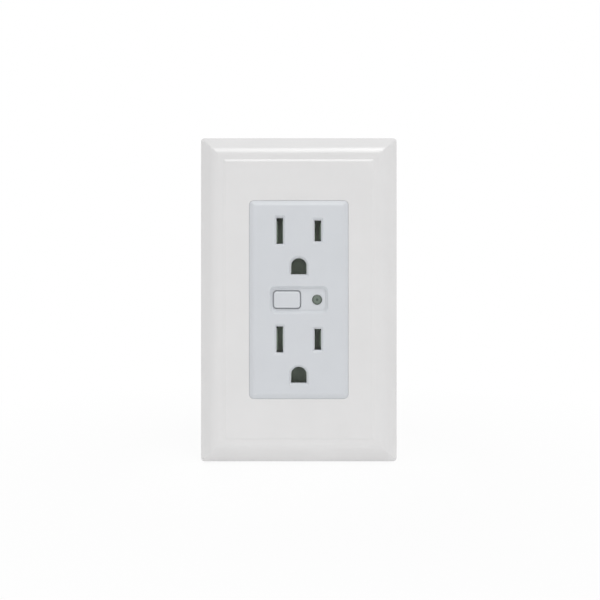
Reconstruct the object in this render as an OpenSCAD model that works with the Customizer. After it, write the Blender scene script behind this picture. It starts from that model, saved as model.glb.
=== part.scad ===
// Remote-controlled duplex receptacle with a screwless clip-on wall plate, in millimetres.
// Every piece is drawn in the plane of the wall: x to the right, y up, z out of the wall from the
// back of the yoke. upright() then stands it up, so the front looks along -Y and +Z is up.

/* [Wall plate] */
// Width of the wall plate
plate_w = 66.6; // [64:0.1:72]
// Height of the wall plate
plate_h = 110; // [109:0.5:118]
// How far the wall plate stands out from the wall
plate_depth = 6.2; // [5.8:0.1:7]
// Wall of the moulded plate
plate_wall = 1.4; // [1:0.1:1.5]
// Height of the upright rim
rim_h = 2.3; // [1.8:0.1:2.6]
// Width of the outer bevel
bevel_run = 4.8; // [4.2:0.1:5.4]
// Radius that softens the crease between the bevel and the border
crease_r = 5; // [3:0.1:6]
// Width of the flat border inside the bevel
border_run = 3.3; // [2.8:0.1:4]
// Width of the slope from the border up to the middle field
step_run = 0.8; // [0.6:0.1:1]
// Height of that slope
step_rise = 0.15; // [0.1:0.05:0.4]
// Radius that softens both edges of that slope
step_r = 0.6; // [0.3:0.1:0.8]
// Corner radius of the plate's outline
plate_corner_r = 0.8; // [0.4:0.1:2]
// Depth of the collar round the window, behind the front of the plate
collar_depth = 3.4; // [2:0.1:3.5]
// Height of one clip tab
tab_h = 6; // [4:0.5:8]

/* [Subplate] */
// Distance from the plate's edge to the edge of the frame that it clips onto
subplate_inset = 3.3; // [3.1:0.1:4]
// Thickness of that frame
subplate_t = 1.2; // [1:0.1:1.3]

/* [Face] */
// Width of the device face
face_w = 33; // [32:0.1:34]
// Height of the device face
face_h = 66.1; // [65:0.1:67]
// Corner radius of the face
face_r = 1.5; // [1:0.1:2.5]
// Radius on the front edges of the face
face_edge = 1.2; // [0.6:0.1:1.4]
// Thickness of the front wall of the face
face_wall = 2; // [1.8:0.1:2.3]
// Thickness of the side walls of the face
face_side = 1.6; // [1.2:0.1:2]
// How far the face stands proud of the wall plate
face_proud = 0.8; // [0.4:0.1:1.2]
// Gap between the face and the window of the plate
plate_gap = 0.12; // [0.1:0.01:0.3]

/* [Outlets] */
// Distance between the two blade slots of an outlet
blade_gap = 12.7; // [12.4:0.1:13]
// Height of the upper outlet's blade slots above the centre of the face
upper_blade_y = 22.95; // [22.2:0.05:23.4]
// Distance from the upper outlet to the lower one
outlet_pitch = 36.2; // [35.4:0.1:36.6]
// Width of the blade slots
slot_w = 2.2; // [1.8:0.1:2.4]
// Height of the neutral slots
neutral_slot_h = 8.7; // [7.8:0.1:9]
// Height of the hot slots
hot_slot_h = 7; // [6.4:0.1:7.6]
// Distance from the blade slots down to the ground hole
ground_drop = 11.8; // [11.6:0.1:12.2]
// Width of the ground hole
ground_w = 5.2; // [5:0.1:5.5]
// Height of the ground hole
ground_h = 5.4; // [5.2:0.1:6]
// Chamfer round the slots and ground holes
slot_chamfer = 0.7; // [0.3:0.1:0.9]

/* [Button panel] */
// Width of the recessed panel
panel_w = 19.5; // [19:0.1:21]
// Height of the recessed panel
panel_h = 9; // [8.6:0.1:9.6]
// Corner radius of the panel
panel_r = 1.8; // [1.4:0.1:2.4]
// Depth of the panel
panel_depth = 0.9; // [0.6:0.1:1.2]
// Width of the panel's sloped walls
panel_slope = 0.75; // [0.5:0.05:0.9]
// Distance of the button to the left of the centre
button_offset = 3.95; // [3.7:0.05:4.2]
// Width of the button cap
button_w = 8.8; // [8:0.1:9.4]
// Height of the button cap
button_h = 5.6; // [5:0.1:6]
// Corner radius of the button cap
button_r = 1; // [0.6:0.1:1.6]
// Gap round the button cap
button_gap = 0.35; // [0.2:0.05:0.4]
// How far the button stands out of the panel
button_proud = 0.6; // [0.4:0.1:0.8]
// Travel of the button
button_travel = 0.5; // [0.3:0.05:0.55]
// Distance of the indicator lens to the right of the centre
lens_offset = 6.1; // [5.9:0.1:6.4]
// Diameter of the indicator lens
lens_d = 3.3; // [3:0.1:3.6]

/* [Yoke] */
// Thickness of the yoke and its ground tab
yoke_t = 1.2; // [1:0.1:1.3]
// Length of the yoke over its ears
yoke_len = 104.4; // [102:0.1:106]
// Width of the ears
ear_w = 20; // [18:0.5:22]
// Width of the yoke behind the face
strap_w = 40; // [38:0.5:41]
// Width of the yoke's window
window_w = 21.6; // [20.8:0.1:22]
// Height of the yoke's window
window_h = 59.8; // [58:0.1:60.2]
// Distance between the two wall box screws
box_screw_gap = 83.34; // [83:0.01:83.7]
// Distance between the two subplate screws
plate_screw_gap = 96.8; // [96.6:0.1:97]
// Shank diameter of the wall box screws
box_screw_d = 3.44; // [3.2:0.02:3.6]
// Reach of the wall box screws behind the yoke
box_screw_reach = 20; // [14:1:26]
// Shank diameter of the subplate screws
plate_screw_d = 2.9; // [2.6:0.1:3.1]

/* [Housing] */
// Width of the front part of the housing
housing_w = 42; // [41.6:0.1:44]
// Height of the front part of the housing
housing_h = 70; // [69.6:0.1:72]
// Depth of the front part of the housing
housing_depth = 17; // [16.5:0.1:19]
// Width of the well at the back of the housing
well_w = 34; // [33.4:0.1:36]
// Height of the well
well_h = 49; // [48.6:0.1:49.4]
// Depth of the well, from the yoke
well_depth = 33.6; // [33:0.1:38]
// Wall of the housing
housing_wall = 1.6; // [1.3:0.1:1.8]
// Radius on the back edges of the housing
back_edge = 1; // [0.6:0.1:1.4]
// Distance between the assembly screws, sideways
screw_gap_x = 26.8; // [26.4:0.1:27.2]
// Distance between the assembly screws, up and down
screw_gap_y = 56.4; // [56.2:0.1:57]
// Shank diameter of the assembly screws
assembly_screw_d = 2.8; // [2.4:0.1:3]

/* [Contacts] */
// Thickness of the contact sheet
sheet_t = 0.8; // [0.6:0.05:0.9]
// Thickness of the plug blades that the contacts take
blade_t = 1.5; // [1.4:0.05:1.6]
// Width between the leaves of a ground contact
ground_mouth = 4.8; // [4.7:0.05:4.9]
// Depth of the contact straps behind the yoke
contact_depth = 9.2; // [9:0.1:9.6]
// Thickness of the insulating tray
carrier_t = 2; // [1.6:0.1:2.2]

/* [Terminals] */
// Height of the hot and neutral terminals above the centre
terminal_y = 12; // [11.8:0.1:12.4]
// Distance of the terminal plates inside the housing's sides
terminal_inset = 3.5; // [3.2:0.1:3.8]
// Shank diameter of the terminal screws
terminal_screw_d = 4; // [3.6:0.1:4.2]
// Head diameter of the terminal screws
terminal_head_d = 7.6; // [7:0.1:7.8]
// Head thickness of the terminal screws
terminal_head_t = 2.4; // [2:0.1:2.8]
// Side of the square clamp plates
clamp_side = 7.8; // [7:0.1:8]
// Thickness of the clamp plates
clamp_t = 1.2; // [1:0.1:1.4]

/* [Boards] */
// Thickness of the circuit boards
board_t = 1.6; // [1.2:0.1:1.8]
// Depth of the control board's front behind the yoke
control_depth = 2; // [1.8:0.1:2.4]
// Width of the control board
control_w = 28; // [27.6:0.1:30]
// Height of the control board
control_h = 14; // [13.6:0.1:14.2]
// Side of the square tact switch
tact_side = 6; // [5.6:0.1:6.2]
// Height of the tact switch body
tact_h = 3.4; // [3:0.1:3.5]
// Diameter of the tact switch plunger
plunger_d = 3.4; // [3:0.1:3.6]

/* [Relay] */
// Length of the relay
relay_l = 19; // [18.8:0.1:19.6]
// Width of the relay
relay_w = 15.5; // [15:0.1:15.7]
// Height of the relay
relay_h = 15.3; // [15:0.1:15.6]
// Wall of the relay cover
relay_wall = 0.8; // [0.6:0.1:0.9]
// Diameter of the relay's winding
coil_d = 8.4; // [7.6:0.1:8.8]

/* [Hidden] */

// Clearances and small shared sizes
$fn = 48;
lap = 1;
screw_play = 0.05;
pass_play = 0.3;
seat_play = 0.05;
slide_play = 0.15;
curve_steps = 6;
board_r = 1;
case_r = 0.5;

// Levels along z, from the back of the yoke
border_z = plate_depth - step_rise;
field_mid = border_z - plate_wall / 2;
face_front = plate_depth + face_proud;
face_inner = face_front - face_wall;
panel_floor = face_front - panel_depth;
contact_air = 0.5;
contact_top = face_inner - contact_air;
strap_z = sheet_t / 2 - contact_depth;
carrier_back = -contact_depth - carrier_t;
ledge_z = housing_wall - housing_depth;
board_front = ledge_z + board_t;
control_front = -control_depth;
control_back = control_front - board_t;
terminal_sink = 0.2;
terminal_z = -contact_depth / 2 - terminal_sink;

// Places across the face
terminal_x = housing_w / 2 - terminal_inset;
lower_blade_y = upper_blade_y - outlet_pitch;
blade_x = blade_gap / 2;
blade_rows = [upper_blade_y, lower_blade_y];
ground_rows = [for (y = blade_rows) y - ground_drop];
screw_x = screw_gap_x / 2;
screw_y = screw_gap_y / 2;
corners = [for (sx = [-1, 1]) for (sy = [-1, 1]) [sx, sy]];
ends = [-1, 1];

// Sheet clips
clip_c = blade_t / 2 + screw_play + sheet_t / 2;
clip_spread = 0.35;
clip_short = 1.3;
hot_clip_h = hot_slot_h - clip_short;
neutral_clip_h = neutral_slot_h - clip_short;
ground_c = ground_mouth / 2 + sheet_t / 2;
ground_clip_short = 0.5;
ground_clip_h = ground_h - ground_clip_short;
strap_in = blade_x - clip_c - clip_spread - sheet_t / 2;
strap_out = blade_x + clip_c + clip_spread + sheet_t;
ground_spread = 0.2;
barrier_air = 0.2;
barrier_x = ground_c + ground_spread + sheet_t / 2 + barrier_air;
barrier_t = 0.6;
terminal_arm_h = 8;
strap_over = 5;
lower_strap_over = 2.5;
tail_x = 12.5;
tail_h = 2;

// The ground tab hangs behind the lower ear, clear of the housing
ground_tab_h = 9;
ground_tab_gap = 1;
ground_tab_reach = 4.2;
tab_y = -(housing_h + ground_tab_h) / 2 - ground_tab_gap;
ground_tab_x = ear_w / 2 + ground_tab_reach;
ground_tab_z = -11;
ground_screw_z = -5.5;
ground_foot_air = 0.4;
ground_foot_y = window_h / 2 + ground_foot_air;
ground_leg_y = housing_h / 2 - housing_wall - pass_play;
rivet_x = 4.5;
rivet_y = -(ground_foot_y + ground_leg_y) / 2;
rivet_d = 2;

// Button, switch and lamp
flange_top = face_inner - slide_play;
flange_t = 0.8;
flange_lip = 1.1;
plunger_proud = 0.8;
plunger_top = control_front + tact_h + plunger_proud;
plunger_h = 1.4;
lamp_d = 3;
lamp_h = 3.1;
control_y = -0.5;
header_x = 8.6;
header_pitch = 2.54;
header_pins = 4;
header_w = 2.5;
pin_w = 0.64;
post_d = 3;
post_x = control_w / 2 - post_d / 2;
post_y = control_h / 2 - post_d / 2;

// Relay frame: u along x, v along y, w backwards from the board
relay_x = -4;
relay_air = 0.5;
relay_y = -well_h / 2 + housing_wall + relay_w / 2 + relay_air;
relay_base_t = 1.5;
coil_air = 1.5;
coil_u = -relay_l / 2 + relay_wall + coil_d / 2 + coil_air;
flange_over = 0.5;
flange_side = coil_d + 2 * flange_over;
coil_top = 10;
pole_top = 10.6;
armature_t = 0.8;
armature_air = 0.6;
armature_w = pole_top + armature_air;
frame_t = 0.8;
blade_spring_t = 0.3;
contact_d = 2.4;
contact_inset = 2.2;
contact_u = relay_l / 2 - relay_wall - contact_inset;
opening = 0.95;
moving_h = 1.2;
fixed_h = 0.8;
fixed_sheet_t = 0.5;

// Wall plate, subplate and screw details
step_x = bevel_run + border_run + step_run;
subplate_w = plate_w - 2 * subplate_inset;
subplate_h = plate_h - 2 * subplate_inset;
subplate_top = yoke_t + subplate_t;
subplate_r = 2;
tab_t = 1.2;
tab_foot = 0.4;
barb = 0.3;
tab_inset = 0.4;
clip_tab_x = plate_w / 2 - step_x - tab_inset;
clip_tab_y = face_h / 2 - tab_h / 2;
plate_head_d = 5;
plate_head_t = 1;
plate_screw_foot = -4;
box_head_d = 6.6;
box_head_t = 2;
box_neck_d = 2.9;
box_slot_l = 6.4;
box_slot_h = box_screw_d + 2 * pass_play;
slot_cut = 0.8;
strap_r = 1.5;
ear_r = 3;
retainer_t = 0.8;
retainer_wall = 0.38;
retainer_bore = box_screw_d + 2 * screw_play;

// Face and housing details
skin = 0.02;
boss_d = 5.2;
tip_short = 0.8;
assembly_tip = face_inner - tip_short;
assembly_head_d = 4.8;
assembly_head_t = 1.8;
assembly_seat = -11;
column_d = 6.4;
button_edge = 0.5;
button_hole = rounded_rect(button_w + 2 * button_gap, button_h + 2 * button_gap, button_r + button_gap);
stem_d = 2.4;
lens_flange_t = 0.8;
lens_proud = 0.4;
housing_r = 2;
housing_in_w = housing_w - 2 * housing_wall;
housing_in_h = housing_h - 2 * housing_wall;
board_edge = 0.5;
board_outline = rounded_rect(housing_in_w - 2 * board_edge, housing_in_h - 2 * board_edge, board_r);
bay_play = 0.7;
bay_h = clamp_side + 2 * bay_play;
terminal_shank = 7.5;
terminal_head_x = 2 * seat_play + clamp_t;
wire_groove_d = 2;
wire_x = terminal_x + wire_groove_d / 2;
wire_y = clamp_side * 3 / 8;
leg_d = 2.4;
leg_x = housing_in_w / 2 - board_edge - leg_d / 2;
leg_y = 20;

// Contact, relay and supply details
mouth_depth = 2.5;
tail_short = 0.2;
terminal_top = 0.6;
tail_drop = 2;
tails = [[tail_x, terminal_y - tail_drop], [tail_x, lower_blade_y], [-tail_x, terminal_y - tail_drop]];
ground_strap_w = 5;
ground_foot_w = 13;
rivet_head_d = 3;
rivet_head_t = 0.7;
barrier_drop = 3.2;
barrier_rise = 4.4;
barrier_top = 2;
header_l = header_pins * header_pitch;
pin_proud = 0.6;
plunger_play = 0.1;
frame_air = 0.2;
frame_u = -relay_l / 2 + relay_wall + frame_air;
frame_w = 8;
hinge_in = 0.5;
hinge_u = frame_u + hinge_in;
pivot_d = 1.2;
core_d = 3.2;
pole_d = 6;
armature_over = 1;
moving_face = armature_w + armature_t - moving_h;
fixed_seat = moving_face - opening - fixed_h;
fixed_air = 0.4;
fixed_u = relay_l / 2 - relay_wall - fixed_air - fixed_sheet_t;
transformer_l = 14;
transformer_w = 13;
transformer_h = 12;
core_step = 4;
core_groove_w = 1;
core_groove = 0.5;
transformer_x = -7;
transformer_y = 1.5;
can_d = 8;
can_h = 12.5;
can_bead = 1.5;
can_groove = 0.3;
can_x = 5.5;
can_rows = [-1.5, 7.5];
film_w = 6;
film_l = 12.5;
film_h = 10;
film_x = 10.6;
film_y = relay_y;
varistor_d = 10;
varistor_t = 4;
varistor_lift = 1;
varistor_x = 12.6;
varistor_y = 3;
lead_d = 0.8;
fuse_l = 10;
fuse_cap_d = 4;
fuse_cap_l = 2.5;
fuse_x = -7;
fuse_y = 12.5;
radio_w = 16;
radio_h = 12;
radio_t = 2;
radio_board_t = 0.8;
radio_margin = 3;
radio_y = 19;

// Geometry helpers
function unit(v) = v / norm(v);
function right_of(a, b) = let (d = unit(b - a)) [d[1], -d[0]];
function mitre(a, v, b) = let (m = right_of(a, v), n = right_of(v, b)) (m + n) / (1 + m * n);
function flip(list) = [for (i = [len(list) - 1:-1:0]) list[i]];

// The path moved sideways to its right by t, with mitred bends
function side_path(path, t) = let (last = len(path) - 1) [
    for (i = [0:last])
        let (bend = i == 0 ? right_of(path[0], path[1])
            : i == last ? right_of(path[last - 1], path[last])
            : mitre(path[i - 1], path[i], path[i + 1]))
        path[i] + t * bend
];

// Outline of bent sheet of thickness t along a centre line
function strip(path, t) = concat(side_path(path, t / 2), flip(side_path(path, -t / 2)));

// Arc of radius r that rounds the bend at v between a and b
function fillet(a, v, b, r) = let (
    p = unit(a - v),
    q = unit(b - v),
    half = acos(p * q) / 2,
    centre = v + unit(p + q) * r / sin(half),
    from = v + p * r / tan(half) - centre,
    to = v + q * r / tan(half) - centre,
    start = atan2(from[1], from[0]),
    turn = atan2(from[0] * to[1] - from[1] * to[0], from * to)
) [for (i = [0:curve_steps]) let (a = start + turn * i / curve_steps) centre + r * [cos(a), sin(a)]];

// Rectangle with round corners, centred
function rounded_rect(w, h, r) = [
    for (k = [0:3])
        for (i = [0:curve_steps])
            let (a = 90 * (k + i / curve_steps), sx = k == 0 || k == 3 ? 1 : -1, sy = k < 2 ? 1 : -1)
            [sx * (w / 2 - r) + r * cos(a), sy * (h / 2 - r) + r * sin(a)]
];

// Section of a block whose two front edges are round
function round_top(w, z0, z1, r) = concat(
    [[-w / 2, z0], [w / 2, z0]],
    [for (i = [0:curve_steps])
        let (a = 90 * i / curve_steps)
        [w / 2 - r + r * cos(a), z1 - r + r * sin(a)]],
    [for (i = [0:curve_steps])
        let (a = 90 + 90 * i / curve_steps)
        [r - w / 2 + r * cos(a), z1 - r + r * sin(a)]]
);

// Half section of the wall plate from its rim inwards, moved in by the wall
function plate_edge(reach, wall, foot) = let (
    path = side_path([
        [0, foot],
        [0, rim_h],
        [bevel_run, border_z],
        [reach, border_z]
    ], wall)
) concat(
    [path[0], path[1]],
    fillet(path[1], path[2], path[3], crease_r - wall),
    [path[3]]
);

// The same from outside, with the slope up to the middle field
function plate_front(reach) = let (
    foot = [bevel_run + border_run, border_z],
    top = [step_x, plate_depth],
    edge = plate_edge(foot[0], 0, 0),
    last = len(edge) - 1
) concat(
    [for (i = [0:last - 1]) edge[i]],
    fillet(edge[last - 1], foot, top, step_r),
    fillet(foot, top, [reach, plate_depth], step_r),
    [[reach, plate_depth]]
);

function both_sides(edge, half) = concat(
    [for (p = edge) [p[0] - half, p[1]]],
    [for (p = flip(edge)) [half - p[0], p[1]]]
);

// Outline of a ground hole: round above, flat below
function ground_outline(grow) = let (r = ground_w / 2 + grow) concat(
    [[-r, -ground_h / 2 - grow], [r, -ground_h / 2 - grow]],
    [for (i = [0:2 * curve_steps]) let (a = 90 * i / curve_steps)
        [r * cos(a), ground_h / 2 + grow - r + r * sin(a)]]
);

module upright() {
    rotate([90, 0, 0])
        children();
}

// Draws a section in x and z along y, or a section in y and z along x
module along_y(length) {
    rotate([90, 0, 0])
        linear_extrude(length, center = true)
            children();
}

module along_x(length) {
    rotate([90, 0, 90])
        linear_extrude(length, center = true)
            children();
}

// Plate with an outline in the plane of the wall, between two levels
module slab(outline, z0, z1) {
    translate([0, 0, z0])
        linear_extrude(z1 - z0)
            polygon(outline);
}

module block(x0, x1, y0, y1, z0, z1) {
    translate([x0, y0, z0])
        cube([x1 - x0, y1 - y0, z1 - z0]);
}

module rod(d, z0, z1) {
    translate([0, 0, z0])
        cylinder(d = d, h = z1 - z0);
}

// Rod along x between two places
module side_rod(d, x0, x1) {
    translate([x0, 0, 0])
        rotate([0, 90, 0])
            cylinder(d = d, h = x1 - x0);
}

module at_corners() {
    for (c = corners)
        translate([c[0] * screw_x, c[1] * screw_y, 0])
            children();
}

module at_box_screws() {
    for (s = ends)
        translate([0, s * box_screw_gap / 2, 0])
            children();
}

module at_plate_screws() {
    for (s = ends)
        translate([0, s * plate_screw_gap / 2, 0])
            children();
}

// Wall plate, subplate and their screws

// Both directions of the plate's section meet in mitred corners
module plate_outside() {
    intersection() {
        along_y(plate_h + lap)
            polygon(both_sides(plate_front(plate_w / 4), plate_w / 2));
        along_x(plate_w + lap)
            polygon(both_sides(plate_front(plate_h / 4), plate_h / 2));
    }
}

module plate_inside() {
    intersection() {
        along_y(plate_h + lap)
            polygon(both_sides(plate_edge(plate_w / 4, plate_wall, -lap), plate_w / 2));
        along_x(plate_w + lap)
            polygon(both_sides(plate_edge(plate_h / 4, plate_wall, -lap), plate_h / 2));
    }
}

module face_window(grow, z0, z1) {
    slab(rounded_rect(face_w + 2 * grow, face_h + 2 * grow, face_r + grow), z0, z1);
}

module at_clip_tabs() {
    for (c = corners)
        translate([c[0] * clip_tab_x, c[1] * clip_tab_y, 0])
            mirror([c[0] < 0 ? 1 : 0, 0, 0])
                children();
}

module wall_plate_cover() {
    color("whitesmoke")
        difference() {
            union() {
                difference() {
                    intersection() {
                        plate_outside();
                        slab(rounded_rect(plate_w, plate_h, plate_corner_r), 0, plate_depth + lap);
                    }
                    plate_inside();
                }
                face_window(plate_gap + plate_wall, plate_depth - collar_depth, field_mid);
                at_clip_tabs() {
                    block(-tab_t / 2, tab_t / 2, -tab_h / 2, tab_h / 2, tab_foot, field_mid);
                    block(0, tab_t / 2 + barb, -tab_h / 2, tab_h / 2, tab_foot, yoke_t - pass_play);
                }
            }
            face_window(plate_gap, -lap, plate_depth + lap);
        }
}

module mounting_subplate() {
    color("gainsboro")
        difference() {
            slab(rounded_rect(subplate_w, subplate_h, subplate_r), yoke_t, subplate_top);
            face_window(plate_gap + plate_wall + pass_play, 0, subplate_top + lap);
            at_box_screws()
                rod(box_head_d + 2 * pass_play, 0, subplate_top + lap);
            at_plate_screws() {
                rod(plate_screw_d + 2 * pass_play, 0, subplate_top + lap);
                translate([0, 0, subplate_top - plate_head_t])
                    cylinder(
                        d1 = plate_screw_d + 2 * pass_play,
                        d2 = plate_head_d + 2 * screw_play,
                        h = plate_head_t
                    );
            }
            at_clip_tabs()
                block(
                    -tab_t / 2 - slide_play, tab_t / 2 + barb + slide_play,
                    -tab_h / 2 - slide_play, tab_h / 2 + slide_play, 0, subplate_top + lap
                );
        }
}

module subplate_screws() {
    color("silver")
        at_plate_screws()
            difference() {
                union() {
                    rod(plate_screw_d, plate_screw_foot, subplate_top - plate_head_t / 2);
                    translate([0, 0, subplate_top - plate_head_t])
                        cylinder(d1 = plate_screw_d, d2 = plate_head_d, h = plate_head_t);
                }
                block(
                    -plate_head_d, plate_head_d, -slot_cut / 2, slot_cut / 2,
                    subplate_top - plate_head_t / 2, subplate_top + lap
                );
            }
}

// Yoke and the screws that hold it

module yoke() {
    color("lightsteelblue")
        difference() {
            union() {
                slab(rounded_rect(strap_w, housing_h, strap_r), 0, yoke_t);
                slab(rounded_rect(ear_w, yoke_len, ear_r), 0, yoke_t);
                translate([0, tab_y, 0])
                    along_y(ground_tab_h)
                        polygon(strip([
                            [0, yoke_t / 2],
                            [yoke_t / 2 - ground_tab_x, yoke_t / 2],
                            [yoke_t / 2 - ground_tab_x, ground_tab_z]
                        ], yoke_t));
            }
            slab(rounded_rect(window_w, window_h, strap_r), -lap, yoke_t + lap);
            at_box_screws()
                slab(rounded_rect(box_slot_l, box_slot_h, box_slot_h / 2 - screw_play), -lap, yoke_t + lap);
            at_plate_screws()
                rod(plate_screw_d + 2 * screw_play, -lap, yoke_t + lap);
            at_corners()
                rod(assembly_screw_d + 2 * pass_play, -lap, yoke_t + lap);
            for (s = ends)
                translate([s * rivet_x, rivet_y, 0])
                    rod(rivet_d + 2 * screw_play, -lap, yoke_t + lap);
            translate([-ground_tab_x, tab_y, ground_screw_z])
                side_rod(terminal_screw_d + 2 * screw_play, -lap, yoke_t + lap);
        }
}

module mounting_screws() {
    color("silver")
        at_box_screws()
            difference() {
                union() {
                    rod(box_screw_d, -box_screw_reach, 0);
                    rod(box_neck_d, -lap, yoke_t + box_head_t / 2);
                    rod(box_head_d, yoke_t, yoke_t + box_head_t);
                }
                block(
                    -box_head_d, box_head_d, -slot_cut / 2, slot_cut / 2,
                    yoke_t + box_head_t / 2, yoke_t + box_head_t + lap
                );
            }
}

// Rings on the threads, too wide for the yoke's slots, that keep the screws captive
module screw_retainers() {
    color("tan")
        at_box_screws()
            difference() {
                rod(retainer_bore + 2 * retainer_wall, -retainer_t, 0);
                rod(retainer_bore, -retainer_t - lap, lap);
            }
}

// Face, button and lens

module face_block(w, h, z0, z1, r, edge) {
    intersection() {
        slab(rounded_rect(w, h, r), z0, z1);
        along_y(h + lap)
            polygon(round_top(w, z0, z1, edge));
        along_x(w + lap)
            polygon(round_top(h, z0, z1, edge));
    }
}

// Blade slot through the front wall with a chamfered mouth
module blade_slot(h) {
    block(-slot_w / 2, slot_w / 2, -h / 2, h / 2, face_inner - lap, face_front + lap);
    intersection() {
        along_y(h + 4 * slot_chamfer)
            polygon(chamfer_section(slot_w));
        along_x(slot_w + 4 * slot_chamfer)
            polygon(chamfer_section(h));
    }
}

function chamfer_section(w) = [
    [-w / 2, face_front - slot_chamfer],
    [w / 2, face_front - slot_chamfer],
    [w / 2 + 1.5 * slot_chamfer, face_front + slot_chamfer / 2],
    [-w / 2 - 1.5 * slot_chamfer, face_front + slot_chamfer / 2]
];

module ground_hole() {
    slab(ground_outline(0), face_inner - lap, face_front + lap);
    hull() {
        slab(ground_outline(0), face_front - slot_chamfer, face_front - slot_chamfer + skin);
        slab(ground_outline(slot_chamfer), face_front - skin, face_front);
    }
}

module panel_recess() {
    hull() {
        slab(rounded_rect(panel_w - 2 * panel_slope, panel_h - 2 * panel_slope, panel_r - panel_slope / 2),
            panel_floor, panel_floor + skin);
        slab(rounded_rect(panel_w, panel_h, panel_r), face_front, face_front + skin);
    }
}

module front_face() {
    color("gainsboro")
        difference() {
            union() {
                difference() {
                    face_block(face_w, face_h, yoke_t, face_front, face_r, face_edge);
                    slab(rounded_rect(face_w - 2 * face_side, face_h - 2 * face_side, face_r / 2),
                        yoke_t - lap, face_inner);
                }
                at_corners()
                    rod(boss_d, yoke_t, face_inner + lap / 2);
            }
            at_corners()
                rod(assembly_screw_d + 2 * screw_play, yoke_t - lap, assembly_tip + pass_play);
            for (y = blade_rows) {
                translate([-blade_x, y, 0])
                    blade_slot(neutral_slot_h);
                translate([blade_x, y, 0])
                    blade_slot(hot_slot_h);
            }
            for (y = ground_rows)
                translate([0, y, 0])
                    ground_hole();
            panel_recess();
            translate([-button_offset, 0, 0])
                slab(button_hole, face_inner - lap, face_front);
            translate([lens_offset, 0, 0])
                rod(lens_d + 2 * screw_play, face_inner - lap, face_front);
        }
}

module push_button() {
    color("gainsboro")
        translate([-button_offset, 0, 0]) {
            face_block(button_w, button_h, flange_top - flange_t / 2, panel_floor + button_proud,
                button_r, button_edge);
            slab(rounded_rect(button_w + 2 * flange_lip, button_h + 2 * flange_lip, button_r),
                flange_top - flange_t, flange_top);
            rod(stem_d, plunger_top + seat_play, flange_top - flange_t / 2);
        }
}

module indicator_lens() {
    color("dimgray")
        translate([lens_offset, 0, 0]) {
            rod(lens_d, face_inner - lens_flange_t, panel_floor + lens_proud / 2);
            translate([0, 0, panel_floor + lens_proud / 2])
                cylinder(d1 = lens_d, d2 = lens_d - lens_proud, h = lens_proud / 2);
            rod(lens_d + flange_lip, face_inner - lens_flange_t, face_inner);
            rod(lens_d - flange_lip / 2, control_front + lamp_h + pass_play,
                face_inner - lens_flange_t / 2);
        }
}

// Housing and the screws that close it

// Block that reaches back from the yoke, with round edges at its back
module moulded_back(w, h, d0, d1) {
    mirror([0, 0, 1])
        face_block(w, h, d0, d1, housing_r, back_edge);
}

// Holes through which wires reach the grooves of the clamp plates from behind
module wire_holes(z0, z1) {
    for (c = corners)
        translate([c[0] * wire_x, terminal_y + c[1] * wire_y, 0])
            rod(wire_groove_d + 2 * pass_play, z0, z1);
}

module rear_housing() {
    color("dimgray")
        difference() {
            union() {
                difference() {
                    union() {
                        moulded_back(housing_w, housing_h, 0, housing_depth);
                        moulded_back(well_w, well_h, housing_depth - lap, well_depth);
                    }
                    slab(rounded_rect(housing_in_w, housing_in_h, housing_r / 2), ledge_z, lap);
                    slab(rounded_rect(well_w - 2 * housing_wall, well_h - 2 * housing_wall, housing_r / 2),
                        housing_wall - well_depth, ledge_z + lap);
                }
                at_corners()
                    rod(column_d, -housing_depth, 0);
            }
            at_corners() {
                rod(assembly_screw_d + 2 * screw_play, -housing_depth - lap, lap);
                rod(assembly_head_d + 2 * pass_play, -housing_depth - lap, assembly_seat);
            }
            wire_holes(-housing_depth - lap, ledge_z + lap);
            for (s = ends)
                translate([s * (housing_w - housing_wall) / 2, terminal_y, 0])
                    block(-housing_wall, housing_wall, -bay_h / 2, bay_h / 2, -contact_depth, lap);
        }
}

module assembly_screws() {
    color("silver")
        at_corners() {
            rod(assembly_screw_d, assembly_seat - assembly_head_t / 2, assembly_tip);
            rod(assembly_head_d, assembly_seat - assembly_head_t, assembly_seat);
        }
}

// Openings that the tray and the main board share: screw columns, contact tails
module column_notches(z0, z1) {
    at_corners()
        rod(column_d + 2 * pass_play, z0, z1);
}

module tail_slots(z0, z1) {
    for (tail = tails)
        translate([tail[0], tail[1], 0])
            block(-sheet_t / 2 - slide_play, sheet_t / 2 + slide_play,
                -tail_h / 2 - slide_play, tail_h / 2 + slide_play, z0, z1);
}

module contact_carrier() {
    color("darkslategray") {
        difference() {
            slab(board_outline, carrier_back, -contact_depth);
            column_notches(carrier_back - lap, 0);
            tail_slots(carrier_back - lap, 0);
            wire_holes(carrier_back - lap, 0);
            translate([header_x, control_y, 0])
                block(-header_w / 2 - pass_play, header_w / 2 + pass_play,
                    -header_l / 2 - pass_play, header_l / 2 + pass_play, carrier_back - lap, 0);
        }
        for (c = corners) {
            translate([c[0] * leg_x, c[1] * leg_y, 0])
                rod(leg_d, board_front, carrier_back + lap / 2);
            translate([c[0] * post_x, control_y + c[1] * post_y, 0])
                rod(post_d, -contact_depth - lap / 2, control_back);
        }
        for (y = blade_rows)
            for (s = ends)
                translate([s * (barrier_x + barrier_t / 2), y, 0])
                    block(-barrier_t / 2, barrier_t / 2, -ground_drop - barrier_drop, barrier_rise,
                        -contact_depth - lap / 2, barrier_top);
    }
}

// Contacts

// Two leaves bent up from a base, drawn in at the middle and flared at the mouth
function clip_path(c, spread) = [
    [-c - spread, contact_top],
    [-c, contact_top - mouth_depth],
    [-c - spread, strap_z],
    [c + spread, strap_z],
    [c, contact_top - mouth_depth],
    [c + spread, contact_top]
];

module clip(c, spread, h) {
    along_y(h)
        polygon(strip(clip_path(c, spread), sheet_t));
}

module strap(x0, x1, y0, y1) {
    block(x0, x1, y0, y1, -contact_depth, sheet_t - contact_depth);
}

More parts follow.
